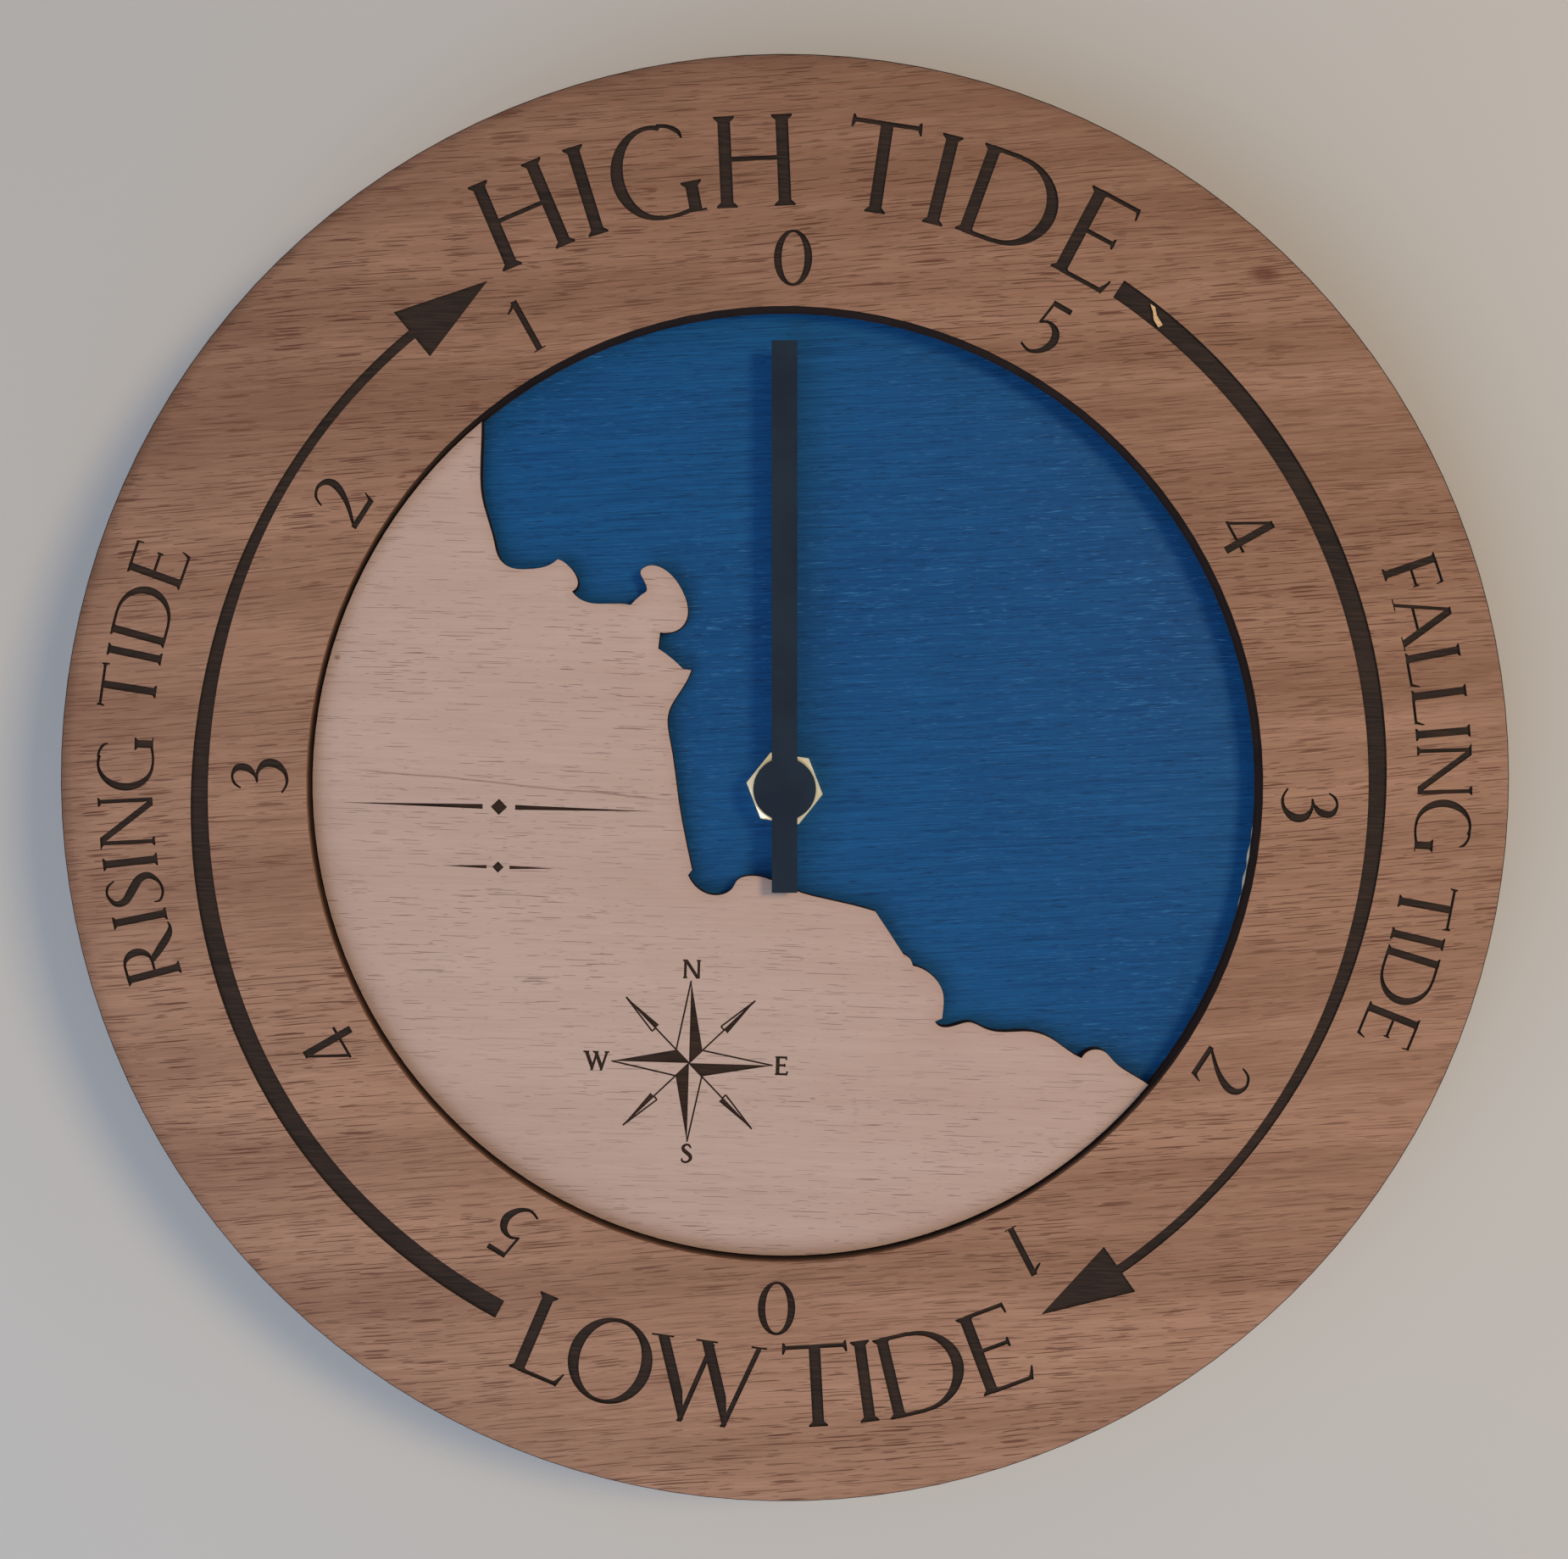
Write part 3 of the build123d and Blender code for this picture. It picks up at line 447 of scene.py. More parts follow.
def rose():
    """A compass rose: four long points, half dark, and four spears between them."""
    middle = Vector(ROSE_PLACE)
    polygons = []
    up = Vector((0, 1))
    for quarter, reach in enumerate(ROSE_REACHES):
        turn = 90 * quarter
        out = compass(turn)[0]
        tip = middle + out * reach
        diagonal, diagonal_side = compass(turn + 45)
        shoulder = middle + diagonal * ROSE_SHOULDER
        other_shoulder = middle + compass(turn - 45)[0] * ROSE_SHOULDER
        polygons.append([middle, tip, shoulder])
        polygons += line(tip, other_shoulder, ROSE_LINE) + line(other_shoulder, middle, ROSE_LINE)
        spear_tip = middle + diagonal * ROSE_SPEAR_REACH
        spear_start = middle + diagonal * ROSE_SPEAR_START
        half_spear = diagonal_side * ROSE_SPEAR_WIDTH / 2
        wing = spear_start - half_spear
        polygons += line(shoulder, spear_tip, ROSE_LINE)
        polygons.append([spear_tip, spear_start + half_spear, spear_start])
        polygons += line(spear_tip, wing, ROSE_LINE) + line(wing, spear_start, ROSE_LINE)
        letter = "NESW"[quarter]
        across = GLYPH_SHARES[letter][0] * ROSE_LETTER_HEIGHT if quarter % 2 else ROSE_LETTER_HEIGHT
        origin = middle + out * (reach + ROSE_LETTER_GAP + across / 2) - up * ROSE_LETTER_HEIGHT / 2
        for stroke in placed_letter(letter, origin, Vector((1, 0)), up, ROSE_LETTER_HEIGHT):
            polygons.append(inset(turned_left(stroke), -ROSE_LETTER_BOLD))
    return polygons


# Engraved plates

def area(points):
    """Area inside a loop, below zero where the loop runs clockwise."""
    total = 0
    for index, (u, v) in enumerate(points):
        next_u, next_v = points[(index + 1) % len(points)]
        total += u * next_v - next_u * v
    return total / 2


def turned_left(points):
    return list(points) if area(points) > 0 else list(points)[::-1]


def on_dial(corner):
    """Place on the dial of a point in the frame, rounded so that equal places match."""
    return (round((corner.x - dial_x) / MM, PLACE_DIGITS), round((corner.z - dial_z) / MM, PLACE_DIGITS))


def front_loops(node):
    """Outlines of a node's front face in dial millimetres, the outer one first."""
    mesh = nodes[node].data
    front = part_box(node)[0].y
    edges = {}
    for polygon in mesh.polygons:
        corners = [mesh.vertices[index].co for index in polygon.vertices]
        if any(abs(corner.y - front) > FLAT_REACH * MM for corner in corners):
            continue
        keys = [on_dial(corner) for corner in corners]
        for index, key in enumerate(keys):
            pair = (key, keys[(index + 1) % len(keys)])
            if pair[::-1] in edges:
                del edges[pair[::-1]]
            else:
                edges[pair] = True
    after = dict(edges.keys())
    loops = []
    while after:
        start, key = after.popitem()
        loop = [start]
        while key != start:
            loop.append(key)
            key = after.pop(key)
        loops.append(loop)
    loops.sort(key=lambda points: -abs(area(points)))
    return [turned_left(loops[0])] + [turned_left(points)[::-1] for points in loops[1:]]


def inset(points, distance):
    """A loop moved to its left by a small distance."""
    moved = []
    for index, point in enumerate(points):
        before = Vector(points[index - 1])
        here = Vector(point)
        after = Vector(points[(index + 1) % len(points)])
        first = (here - before).normalized()
        second = (after - here).normalized()
        across = Vector((-first.y - second.y, first.x + second.x))
        lean = max(across.length / 2, SHARPEST_LEAN)
        moved.append(here + across.normalized() * distance / lean)
    return moved


def outline_distance(point, outline):
    """Distance from a point to an outline, up to the reach of the scorch."""
    best = SCORCH_REACH
    for index, start in enumerate(outline):
        reach = Vector(start) - point
        run = Vector(outline[(index + 1) % len(outline)]) - Vector(start)
        if reach.length > best + run.length:
            continue
        share = min(max(-reach.dot(run) / run.length_squared, 0), 1)
        best = min(best, (reach + run * share).length)
    return best


def triangulated(polygons):
    """Delaunay triangles over closed polygons, and for each the numbers of the polygons that hold it."""
    points = []
    indices = []
    for polygon in polygons:
        start = len(points)
        points += [Vector(point) for point in turned_left(polygon)]
        indices.append(list(range(start, len(points))))
    corners, _, triangles, _, _, holders = delaunay_2d_cdt(points, [], indices, 0, MERGE_REACH)
    return corners, triangles, holders


def on_plate(held, loop_count):
    """Whether what polygons hold lies inside the outline, the first of the loops, and in no opening."""
    return 0 in held and not any(1 <= number < loop_count for number in held)


class PlateMesh:
    """Vertices with their scorch, and faces with their slots, as a plate is laid down."""

    def __init__(self):
        self.places = []
        self.scorch = []
        self.faces = []
        self.slots = []

    def vertex(self, point, y, burn):
        self.places.append((dial_x + point[0] * MM, y, dial_z + point[1] * MM))
        self.scorch.append(burn)
        return len(self.places) - 1

    def face(self, corners, slot):
        self.faces.append(corners)
        self.slots.append(slot)

    def made(self, name, materials):
        mesh = bpy.data.meshes.new(name)
        mesh.from_pydata(self.places, [], self.faces)
        for material in materials:
            mesh.materials.append(material)
        mesh.polygons.foreach_set("material_index", self.slots)
        mesh.attributes.new("scorch", "FLOAT", "POINT").data.foreach_set("value", self.scorch)
        mesh.update()
        return mesh


def lay_front(plate, loops, fronts, marks, chips, y, cut):
    """The front face, sunk with walls round it where the marks are, but not on the chips."""
    bands = [inset(loops[0], step) for step in SCORCH_STEPS]
    corners, triangles, holders = triangulated(fronts + marks + chips + bands)
    first_mark = len(fronts)
    first_chip = first_mark + len(marks)
    first_band = first_chip + len(chips)
    numbers = {}

    def corner(index, sunk):
        key = (index, sunk)
        if key not in numbers:
            burn = 1 - outline_distance(corners[index], loops[0]) / SCORCH_REACH
            numbers[key] = plate.vertex(corners[index], y + (cut * MM if sunk else 0), burn)
        return numbers[key]

    sides = {}
    for triangle, held in zip(triangles, holders):
        if not on_plate(held, first_mark):
            continue
        chipped = any(first_chip <= number < first_band for number in held)
        sunk = not chipped and any(first_mark <= number < first_chip for number in held)
        slot = CHIP_SLOT if chipped else MARK_SLOT if sunk else FACE_SLOT
        plate.face([corner(index, sunk) for index in triangle], slot)
        for index, start in enumerate(triangle):
            sides[(start, triangle[(index + 1) % 3])] = sunk
    for (start, end), sunk in sides.items():
        if sunk and sides.get((end, start)) is False:
            foot_of_wall = [corner(end, True), corner(start, True)]
            plate.face(foot_of_wall + [corner(start, False), corner(end, False)], MARK_SLOT)


def lay_edges(plate, loops, fronts, breaks, low_y, high_y):
    """The broken edges and the cut walls behind them; an opening's wall is marked at its front, where its
    edge material paints light.
    """
    for number, (front, outline, width) in enumerate(zip(fronts, loops, breaks)):
        # An opening's wall has no scorch at its front; the edge material reads that to paint light there
        # beside the land
        burn = 0 if number else 1
        rims = []
        for inner, outer in zip(front, outline):
            rims.append((
                plate.vertex(inner, low_y, burn),
                plate.vertex(outer, low_y + width * MM, burn),
                plate.vertex(outer, high_y, 1),
            ))
        for index, rim in enumerate(rims):
            other = rims[(index + 1) % len(rims)]
            for level in range(2):
                plate.face([rim[level], rim[level + 1], other[level + 1], other[level]], EDGE_SLOT)


def lay_back(plate, loops, y):
    corners, triangles, holders = triangulated(loops)
    back = [plate.vertex(point, y, 0) for point in corners]
    for triangle, held in zip(triangles, holders):
        if on_plate(held, len(loops)):
            plate.face([back[index] for index in triangle[::-1]], FACE_SLOT)


def linked(name, data):
    """New object in the scene."""
    thing = bpy.data.objects.new(name, data)
    scene.collection.objects.link(thing)
    return thing


def engraved_plate(name, node, marks, cut, materials, chips=(), rim_break=EDGE_BREAK):
    """A plate that stands for a node: engraved with marks but for its chips, its edges charred."""
    low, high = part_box(node)
    loops = front_loops(node)
    breaks = [rim_break] + [EDGE_BREAK] * (len(loops) - 1)
    fronts = [inset(points, width) for points, width in zip(loops, breaks)]
    layers = PlateMesh()
    lay_front(layers, loops, fronts, marks, list(chips), low.y, cut)
    lay_edges(layers, loops, fronts, breaks, low.y, high.y)
    lay_back(layers, loops, high.y)
    plate = linked(name, layers.made(name, materials))
    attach(plate, "clock")
    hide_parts(node)
    return plate


def glue_fleck(material):
    """Dried glue at the foot of the ring's opening: a wavering fillet that ends in points."""
    opening = min(max(Vector(point).length for point in loop) for loop in front_loops("dial_ring"))
    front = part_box("sea_plate")[0].y
    start, end = GLUE_TURNS
    places = []
    faces = []
    for step in range(GLUE_STEPS + 1):
        share = step / GLUE_STEPS
        out = compass(start + (end - start) * share)[0]
        wave = GLUE_WAVE_SHARE * math.sin(GLUE_WAVES * math.pi * share)
        swell = math.sin(math.pi * share) * (1 - GLUE_WAVE_SHARE + wave)
        inner = out * (opening - GLUE_WIDTH * swell)
        outer = out * opening
        for point, rise in ((inner, 0), (outer, 0), (outer, GLUE_HEIGHT * swell)):
            places.append((dial_x + point.x * MM, front - rise * MM, dial_z + point.y * MM))
    for step in range(GLUE_STEPS):
        for corner in range(3):
            here = 3 * step + corner
            beside = 3 * step + (corner + 1) % 3
            faces.append([here, beside, beside + 3, here + 3])
    mesh = bpy.data.meshes.new("glue_fleck")
    mesh.from_pydata(places, [], faces)
    mesh.materials.append(material)
    fleck = linked("glue_fleck", mesh)
    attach(fleck, "clock")


# Shader nodes

def plug(node, sockets):
    """Sets a node's inputs, by name or number, to values or to other nodes' outputs."""
    for key, value in sockets.items():
        if isinstance(value, bpy.types.NodeSocket):
            node.id_data.links.new(value, node.inputs[key])
        else:
            node.inputs[key].default_value = value


def add(tree, kind, sockets=None, **settings):
    """New shader node with its settings and inputs."""
    node = tree.nodes.new("ShaderNode" + kind)
    for key, value in settings.items():
        setattr(node, key, value)
    plug(node, sockets or {})
    return node


def join(kind, sockets, **settings):
    """New shader node in the tree of the outputs that it takes."""
    outputs = [value for value in sockets.values() if isinstance(value, bpy.types.NodeSocket)]
    return add(outputs[0].id_data, kind, sockets, **settings)


def new_material(name):
    material = bpy.data.materials.new(name)
    material.use_nodes = True
    tree = material.node_tree
    return material, tree, tree.nodes["Principled BSDF"]


def object_space(tree):
    return add(tree, "TexCoord").outputs["Object"]


def maths(operation, *values):
    return join("Math", dict(enumerate(values)), operation=operation).outputs[0]


def vectors(operation, *values):
    """Outputs of a vector operation: Vector, or Value where the result is a number."""
    return join("VectorMath", dict(enumerate(values)), operation=operation).outputs


def times(first, second):
    return maths("MULTIPLY", first, second)


def mapped(vector, **changes):
    return join("Mapping", {"Vector": vector, **changes}).outputs[0]


def noise(tree, scale, detail=3.0, shift=(0, 0, 0), space=None):
    """Noise with its own number of features per metre along each axis."""
    vector = mapped(space or object_space(tree), Scale=scale, Location=shift)
    return join("TexNoise", {"Vector": vector, "Scale": 1.0, "Detail": detail}).outputs["Fac"]


def span(value, low, high, to_low=0.0, to_high=1.0):
    """A value moved from one span to another, and held inside it."""
    sockets = {"Value": value, "From Min": low, "From Max": high, "To Min": to_low, "To Max": to_high}
    return join("MapRange", sockets).outputs[0]


def mix(share, first, second):
    """Mix of two colours: a colour mix has them at inputs 6 and 7, and its result at output 2."""
    return join("Mix", {0: share, 6: first, 7: second}, data_type="RGBA").outputs[2]


def bump(height, distance):
    """Normal of a relief of the given depth in millimetres."""
    return join("Bump", {"Height": height, "Distance": distance * MM, "Strength": 1.0}).outputs[0]


# Specular level of bare wood, soot and dull paint
MATTE = 0.12


def surface(shader, colour, roughness, normal, specular=MATTE):
    plug(shader, {
        "Base Color": colour, "Roughness": roughness, "Normal": normal, "Specular IOR Level": specular,
    })


def slope(tree, slant):
    """Mask that rises from 0 to 1 across the ring, upwards but slanted to the left by degrees."""
    out = compass(-slant)[0]
    uphill = Vector((out.x, 0, out.y))
    climb = vectors("DOT_PRODUCT", object_space(tree), uphill)["Value"]
    level = uphill.dot((dial_x, 0, dial_z))
    reach = ring_radius * MM
    return span(climb, level - reach, level + reach)


def from_place(tree, place):
    """Object coordinates from a place on the dial."""
    middle = (dial_x + place[0] * MM, 0, dial_z + place[1] * MM)
    return vectors("SUBTRACT", object_space(tree), middle)["Vector"]


def facing(tree, axis):
    """How far the surface faces along an axis, from -1 to 1."""
    normal = add(tree, "NewGeometry").outputs["Normal"]
    return join("SeparateXYZ", {0: normal}).outputs[axis]


def scorch(tree):
    return add(tree, "Attribute", attribute_name="scorch").outputs["Fac"]


# Wood grain: lengths and widths in millimetres, the span of noise that shows, a shift and the detail
Lines = namedtuple("Lines", "length width low high shift detail", defaults=(0.0, 2.0))
BANDS = Lines(180, 12, 0.32, 0.68, 0.0, 4.0)
STREAKS = Lines(60, 1.8, 0.48, 0.7, 5.3, 3.0)
FIBRES = Lines(11, 0.34, 0.3, 0.7, 3.1)
CHAR_FIBRES = Lines(9, 0.45, 0.4, 0.7, 1.3)
SEA_FIBRES = Lines(20, 0.26, 0.3, 0.7)
SEA_PORES = Lines(4, 0.24, 0.6, 0.68, 5.1)
SEA_GLINTS = Lines(3.5, 0.22, 0.62, 0.7, 9.4)
# Pores of size 1; a look's rareness is added to their span
LONG_PORES = Lines(12, 0.3, 0.0, 0.03, 7.7, 0.5)
SHORT_PORES = Lines(5, 0.26, 0.03, 0.06, 11.9, 0.5)
SWAY_NOISE = (9, 0, 22)


def grain_space(tree, tilt, sway):
    """Object coordinates turned by the tilt of the grain in degrees, and swayed by a few millimetres."""
    turned = mapped(object_space(tree), Rotation=(0, math.radians(tilt), 0))
    wave = join("TexNoise", {"Vector": mapped(turned, Scale=SWAY_NOISE), "Scale": 1.0})
    offset = mapped(wave.outputs["Color"], Scale=(0, 0, 2 * sway * MM))
    return vectors("ADD", turned, offset)["Vector"]


def grain(tree, lines, space=None):
    """Mask of short lines along the grain."""
    across = 1 / (lines.width * MM)
    scale = (1 / (lines.length * MM), across, across)
    field = noise(tree, scale, lines.detail, (lines.shift, 0, lines.shift), space)
    return span(field, lines.low, lines.high)


# Clouds: features per metre along each axis, the span of noise that shows, what it becomes, and the detail
Clouds = namedtuple("Clouds", "scale low high to_low to_high detail", defaults=(0.0, 1.0, 3.0))
CROWDING = Clouds((12, 12, 42), 0.34, 0.58, 0.4)
WANDER = Clouds((60, 60, 160), 0.3, 0.7, -0.25, 0.1)
SOOT = Clouds((120, 30, 120), 0.4, 0.75, 0.0, 0.5)
PATCHES = Clouds((90, 90, 90), 0.35, 0.75)
SEA_CLOUDS = Clouds((16, 16, 24), 0.3, 0.7, detail=4.0)
TARNISH = Clouds((120, 120, 120), 0.3, 0.7)


def cloud_mask(tree, clouds, space=None):
    field = noise(tree, clouds.scale, clouds.detail, space=space)
    return span(field, clouds.low, clouds.high, clouds.to_low, clouds.to_high)


# Veneers: colours, then the shares of the marks, the rareness and size of the pores, the painted shade that
# darkens it towards the top, the roughness, and the tilt of the grain in degrees and its sway in
# millimetres
RING_LOOK = {
    "pale": srgb(166, 127, 106), "deep": srgb(120, 86, 68), "streak": srgb(118, 77, 60),
    "pore": srgb(72, 33, 22), "knot": srgb(84, 42, 32), "scorch": srgb(80, 54, 42),
    "bands": 0.48, "streaks": 0.28, "pores": 0.74, "scorches": 0.05, "smoke": 0.75,
    "rare": 0.64, "size": 1.0, "painted_top_shade": 0.5, "gloss": 0.5, "tilt": 6.0, "sway": 2.5,
}
LAND_LOOK = {
    "pale": srgb(179, 153, 143), "deep": srgb(166, 139, 127), "streak": srgb(160, 133, 122),
    "pore": srgb(100, 74, 64), "knot": srgb(120, 80, 60), "scorch": srgb(140, 104, 82),
    "bands": 0.5, "streaks": 0.2, "pores": 0.7, "scorches": 0.25, "smoke": 0.0,
    "rare": 0.715, "size": 0.6, "painted_top_shade": 0.0, "gloss": 0.55, "tilt": 0.0, "sway": 1.0,
}
# Shares, reliefs in millimetres, slants in degrees, and for the seam's waver features per metre
FIBRE_TONE = 0.34
FIBRE_GLOSS = 0.15
FIBRE_RELIEF = 0.3
VENEER_RELIEF = 0.09
SHORT_PORE_SHARE = 0.7
KNOT_SHARE = 0.75
KNOT_CORE = 0.3
SEAM_SHARE = 0.6
SEAM_NOISE = (40, 40, 0)
SEAM_SWAY_WIDTHS = 3
SEAM_FULL_SHARE = 0.8
# Slant of the painted shade, which darkens the veneer towards the top as though the light fell off there
SHADE_SLANT = -6
SMOKE_SLANT = 60


def spot(tree, place, half_width, half_height):
    """Mask of a soft oval spot at a place on the dial, sizes in millimetres."""
    scale = (1 / (half_width * MM), 0, 1 / (half_height * MM))
    sized = vectors("MULTIPLY", from_place(tree, place), scale)["Vector"]
    return span(vectors("LENGTH", sized)["Value"], 1.0, KNOT_CORE)


def seam(tree, start, end, width):
    """Mask of a fine wavering line between two places on the dial."""
    run = Vector(end) - Vector(start)
    moved = from_place(tree, (Vector(start) + Vector(end)) / 2)
    turn = {"Vector": moved, "Angle": math.atan2(run.y, run.x)}
    turned = join("VectorRotate", turn, rotation_type="Y_AXIS").outputs[0]
    split = join("SeparateXYZ", {0: turned}).outputs
    sway = SEAM_SWAY_WIDTHS * width * MM
    wave = span(noise(tree, SEAM_NOISE, detail=2.0), 0, 1, -sway, sway)
    off = maths("ABSOLUTE", maths("ADD", split["Z"], wave))
    along = maths("ABSOLUTE", split["X"])
    reach = run.length / 2 * MM
    return times(span(off, width * MM, 0), span(along, reach, SEAM_FULL_SHARE * reach))


def pore_lines(tree, lines, look, space):
    """Mask of pores of a look's size and rareness."""
    return grain(tree, lines._replace(
        length=lines.length * look["size"], width=lines.width * look["size"],
        low=lines.low + look["rare"], high=lines.high + look["rare"],
    ), space)


def pore_mask(tree, look, space):
    """Mask of long and short pores that crowd in some places."""
    long_pores = pore_lines(tree, LONG_PORES, look, space)
    short_pores = times(pore_lines(tree, SHORT_PORES, look, space), SHORT_PORE_SHARE)
    crowded = cloud_mask(tree, CROWDING, space)
    pores = maths("MAXIMUM", long_pores, short_pores)
    return times(times(pores, crowded), look["pores"])


def scorch_mask(tree, look):
    """Mask of the scorch beside the outline: even all round, with smoke on one side."""
    burnt = span(maths("ADD", scorch(tree), cloud_mask(tree, WANDER)), 0.0, 1.0)
    side = slope(tree, SMOKE_SLANT)
    share = maths("MULTIPLY_ADD", times(side, side), look["smoke"], look["scorches"])
    return times(burnt, share)


def wood(name, look, knots=(), seams=()):
    """Plain-sawn veneer, its grain along X, with painted shade towards the top; look holds its colours and
    shares.
    """
    material, tree, shader = new_material(name)
    space = grain_space(tree, look["tilt"], look["sway"])
    fibres = grain(tree, FIBRES, space)
    bands = times(grain(tree, BANDS, space), look["bands"])
    streaks = times(grain(tree, STREAKS, space), look["streaks"])
    pores = pore_mask(tree, look, space)
    # Painted shade: the veneer grows darker towards the top, standing in for light that falls off
    painted_top_shade = times(slope(tree, SHADE_SLANT), look["painted_top_shade"])
    tone = maths("ADD", maths("ADD", bands, times(fibres, FIBRE_TONE)), painted_top_shade)
    colour = mix(tone, look["pale"], look["deep"])
    colour = mix(streaks, colour, look["streak"])
    colour = mix(pores, colour, look["pore"])
    for ends_and_width in seams:
        colour = mix(times(seam(tree, *ends_and_width), SEAM_SHARE), colour, look["pore"])
    for place_and_size in knots:
        colour = mix(times(spot(tree, *place_and_size), KNOT_SHARE), colour, look["knot"])
    colour = mix(scorch_mask(tree, look), colour, look["scorch"])
    relief = maths("SUBTRACT", times(fibres, FIBRE_RELIEF), pores)
    roughness = span(fibres, 0, 1, look["gloss"], look["gloss"] + FIBRE_GLOSS)
    surface(shader, colour, roughness, bump(relief, VENEER_RELIEF))
    return material


# Laser-cut edges
RING_PLIES = 5
LAND_PLIES = 3
EDGE_DARK = srgb(30, 22, 19)
EDGE_BROWN = srgb(56, 38, 29)
EDGE_SOOT = srgb(20, 16, 15)
# Paler colour painted at the front of the opening's wall beside the land: painted light
EDGE_PAINTED_LIGHT = srgb(122, 86, 64)
EDGE_ROUGHNESS = 0.75
EDGE_RELIEF = 0.08
ALONG_PLIES = 9
PLIES = (0.4, 0.6)
# Reach of that painted light down the wall, and the side of the ring beside the land where it is painted
PAINTED_LIGHT_DEPTH = 0.3
LAND_SLANT = 143
LAND_SIDE = (0.45, 0.55)


def charred_edge(name, node, plies):
    """Laser-cut edge: dark plies across a node; beside the land its front is painted paler, as painted
    light that thins the shaded line there.
    """
    material, tree, shader = new_material(name)
    low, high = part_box(node)
    layers = noise(tree, (ALONG_PLIES, plies / (high.y - low.y), ALONG_PLIES), detail=1.0)
    colour = mix(span(layers, *PLIES), EDGE_DARK, EDGE_BROWN)
    colour = mix(cloud_mask(tree, SOOT), colour, EDGE_SOOT)
    beside_land = span(slope(tree, LAND_SLANT), *LAND_SIDE)
    # Painted light: the wall's front beside the land is paler, standing in for light that thins the shaded
    # line between ring and land
    painted_light_front = times(span(scorch(tree), PAINTED_LIGHT_DEPTH, 0.0), beside_land)
    surface(shader, mix(painted_light_front, colour, EDGE_PAINTED_LIGHT), EDGE_ROUGHNESS, bump(layers, EDGE_RELIEF))
    return material


# Floors of the engraving, and the bare wood of a chip
RING_CHAR = (srgb(33, 27, 25), srgb(60, 45, 38))
LAND_CHAR = (srgb(34, 25, 21), srgb(62, 44, 35))
CHIP_WOOD = (srgb(206, 170, 128), srgb(170, 126, 88))
CHAR_FIBRE_SHARE = 0.7
CHAR_PATCH_SHARE = 0.35
CHAR_ROUGHNESS = 0.85
CHAR_RELIEF = 0.08


def char(name, dark, brown):
    """Burnt or broken wood: fibres and patches of a second colour."""
    material, tree, shader = new_material(name)
    fibres = grain(tree, CHAR_FIBRES)
    colour = mix(times(fibres, CHAR_FIBRE_SHARE), dark, brown)
    colour = mix(times(cloud_mask(tree, PATCHES), CHAR_PATCH_SHARE), colour, brown)
    surface(shader, colour, CHAR_ROUGHNESS, bump(fibres, CHAR_RELIEF))
    return material


# Sea: stain and bare plies, shares of the marks, tilt of the grain in degrees and its sway in millimetres
SEA_PALE = srgb(17, 80, 130)
SEA_DEEP = srgb(5, 54, 97)
SEA_CLOUD = srgb(10, 54, 104)
SEA_PORE = srgb(4, 30, 60)
SEA_GLINT = srgb(60, 118, 166)
PLY_PALE = srgb(214, 184, 150)
PLY_DEEP = srgb(190, 156, 122)
SEA_FIBRE_SHARE = 0.85
SEA_CLOUD_SHARE = 0.45
SEA_PORE_SHARE = 0.55
SEA_GLINT_SHARE = 0.6
SEA_TILT = 4.5
SEA_SWAY = 0.5
STAIN_FACING = (-0.9, -0.6)
SEA_ROUGHNESS = (0.5, 0.65)
SEA_RELIEF = 0.03


def stained_sea():
    """Blue stain on the front face, bare plies elsewhere."""
    material, tree, shader = new_material("sea_wood")
    space = grain_space(tree, SEA_TILT, SEA_SWAY)
    fibres = grain(tree, SEA_FIBRES, space)
    clouds = cloud_mask(tree, SEA_CLOUDS)
    pores = grain(tree, SEA_PORES, space)
    glints = times(grain(tree, SEA_GLINTS, space), clouds)
    blue = mix(times(fibres, SEA_FIBRE_SHARE), SEA_PALE, SEA_DEEP)
    blue = mix(times(clouds, SEA_CLOUD_SHARE), blue, SEA_CLOUD)
    blue = mix(times(pores, SEA_PORE_SHARE), blue, SEA_PORE)
    blue = mix(times(glints, SEA_GLINT_SHARE), blue, SEA_GLINT)
    bare = mix(fibres, PLY_PALE, PLY_DEEP)
    colour = mix(span(facing(tree, "Y"), *STAIN_FACING), blue, bare)
    surface(shader, colour, span(fibres, 0, 1, *SEA_ROUGHNESS), bump(fibres, SEA_RELIEF))
    return material


# Plastics, rubber and paint: the nodes that wear it, its name, two screen colours that blend in clouds,
# the roughness, the depth of the skin in millimetres, and for dull paint the specular level
WHEELS = [
    "tide_wheel", "minute_idler", "setting_gear", "centre_wheel", "third_wheel", "second_wheel",
    "second_idler", "rotor_arbor",
]
MOULDED = [
    (["tide_hand"], "hand_black", (24, 36, 50), (20, 30, 44), 0.6, 0.01, MATTE),
    (["rubber_washer"], "washer_rubber", (30, 30, 30), (22, 22, 22), 0.8, 0.03),
    (["movement_case"], "case_plastic", (36, 36, 38), (28, 28, 30), 0.5, 0.02),
    (["rear_cover"], "cover_plastic", (40, 40, 42), (31, 31, 33), 0.48, 0.02),
    (["train_bridge"], "bridge_plastic", (58, 58, 62), (46, 46, 50), 0.45, 0.01),
    (WHEELS, "wheel_plastic", (232, 229, 216), (220, 214, 198), 0.4, 0.005),
    (["setting_knob"], "knob_plastic", (62, 62, 66), (50, 50, 54), 0.45, 0.01),
    (["rotor_magnet"], "magnet_ferrite", (70, 70, 74), (54, 54, 58), 0.55, 0.01),
    (["coil_bobbin"], "bobbin_plastic", (222, 216, 196), (206, 198, 176), 0.4, 0.005),
    (["circuit_board"], "board_laminate", (44, 104, 66), (34, 86, 54), 0.4, 0.01),
    (["chip_blob"], "chip_resin", (24, 24, 25), (17, 17, 18), 0.25, 0.005),
]
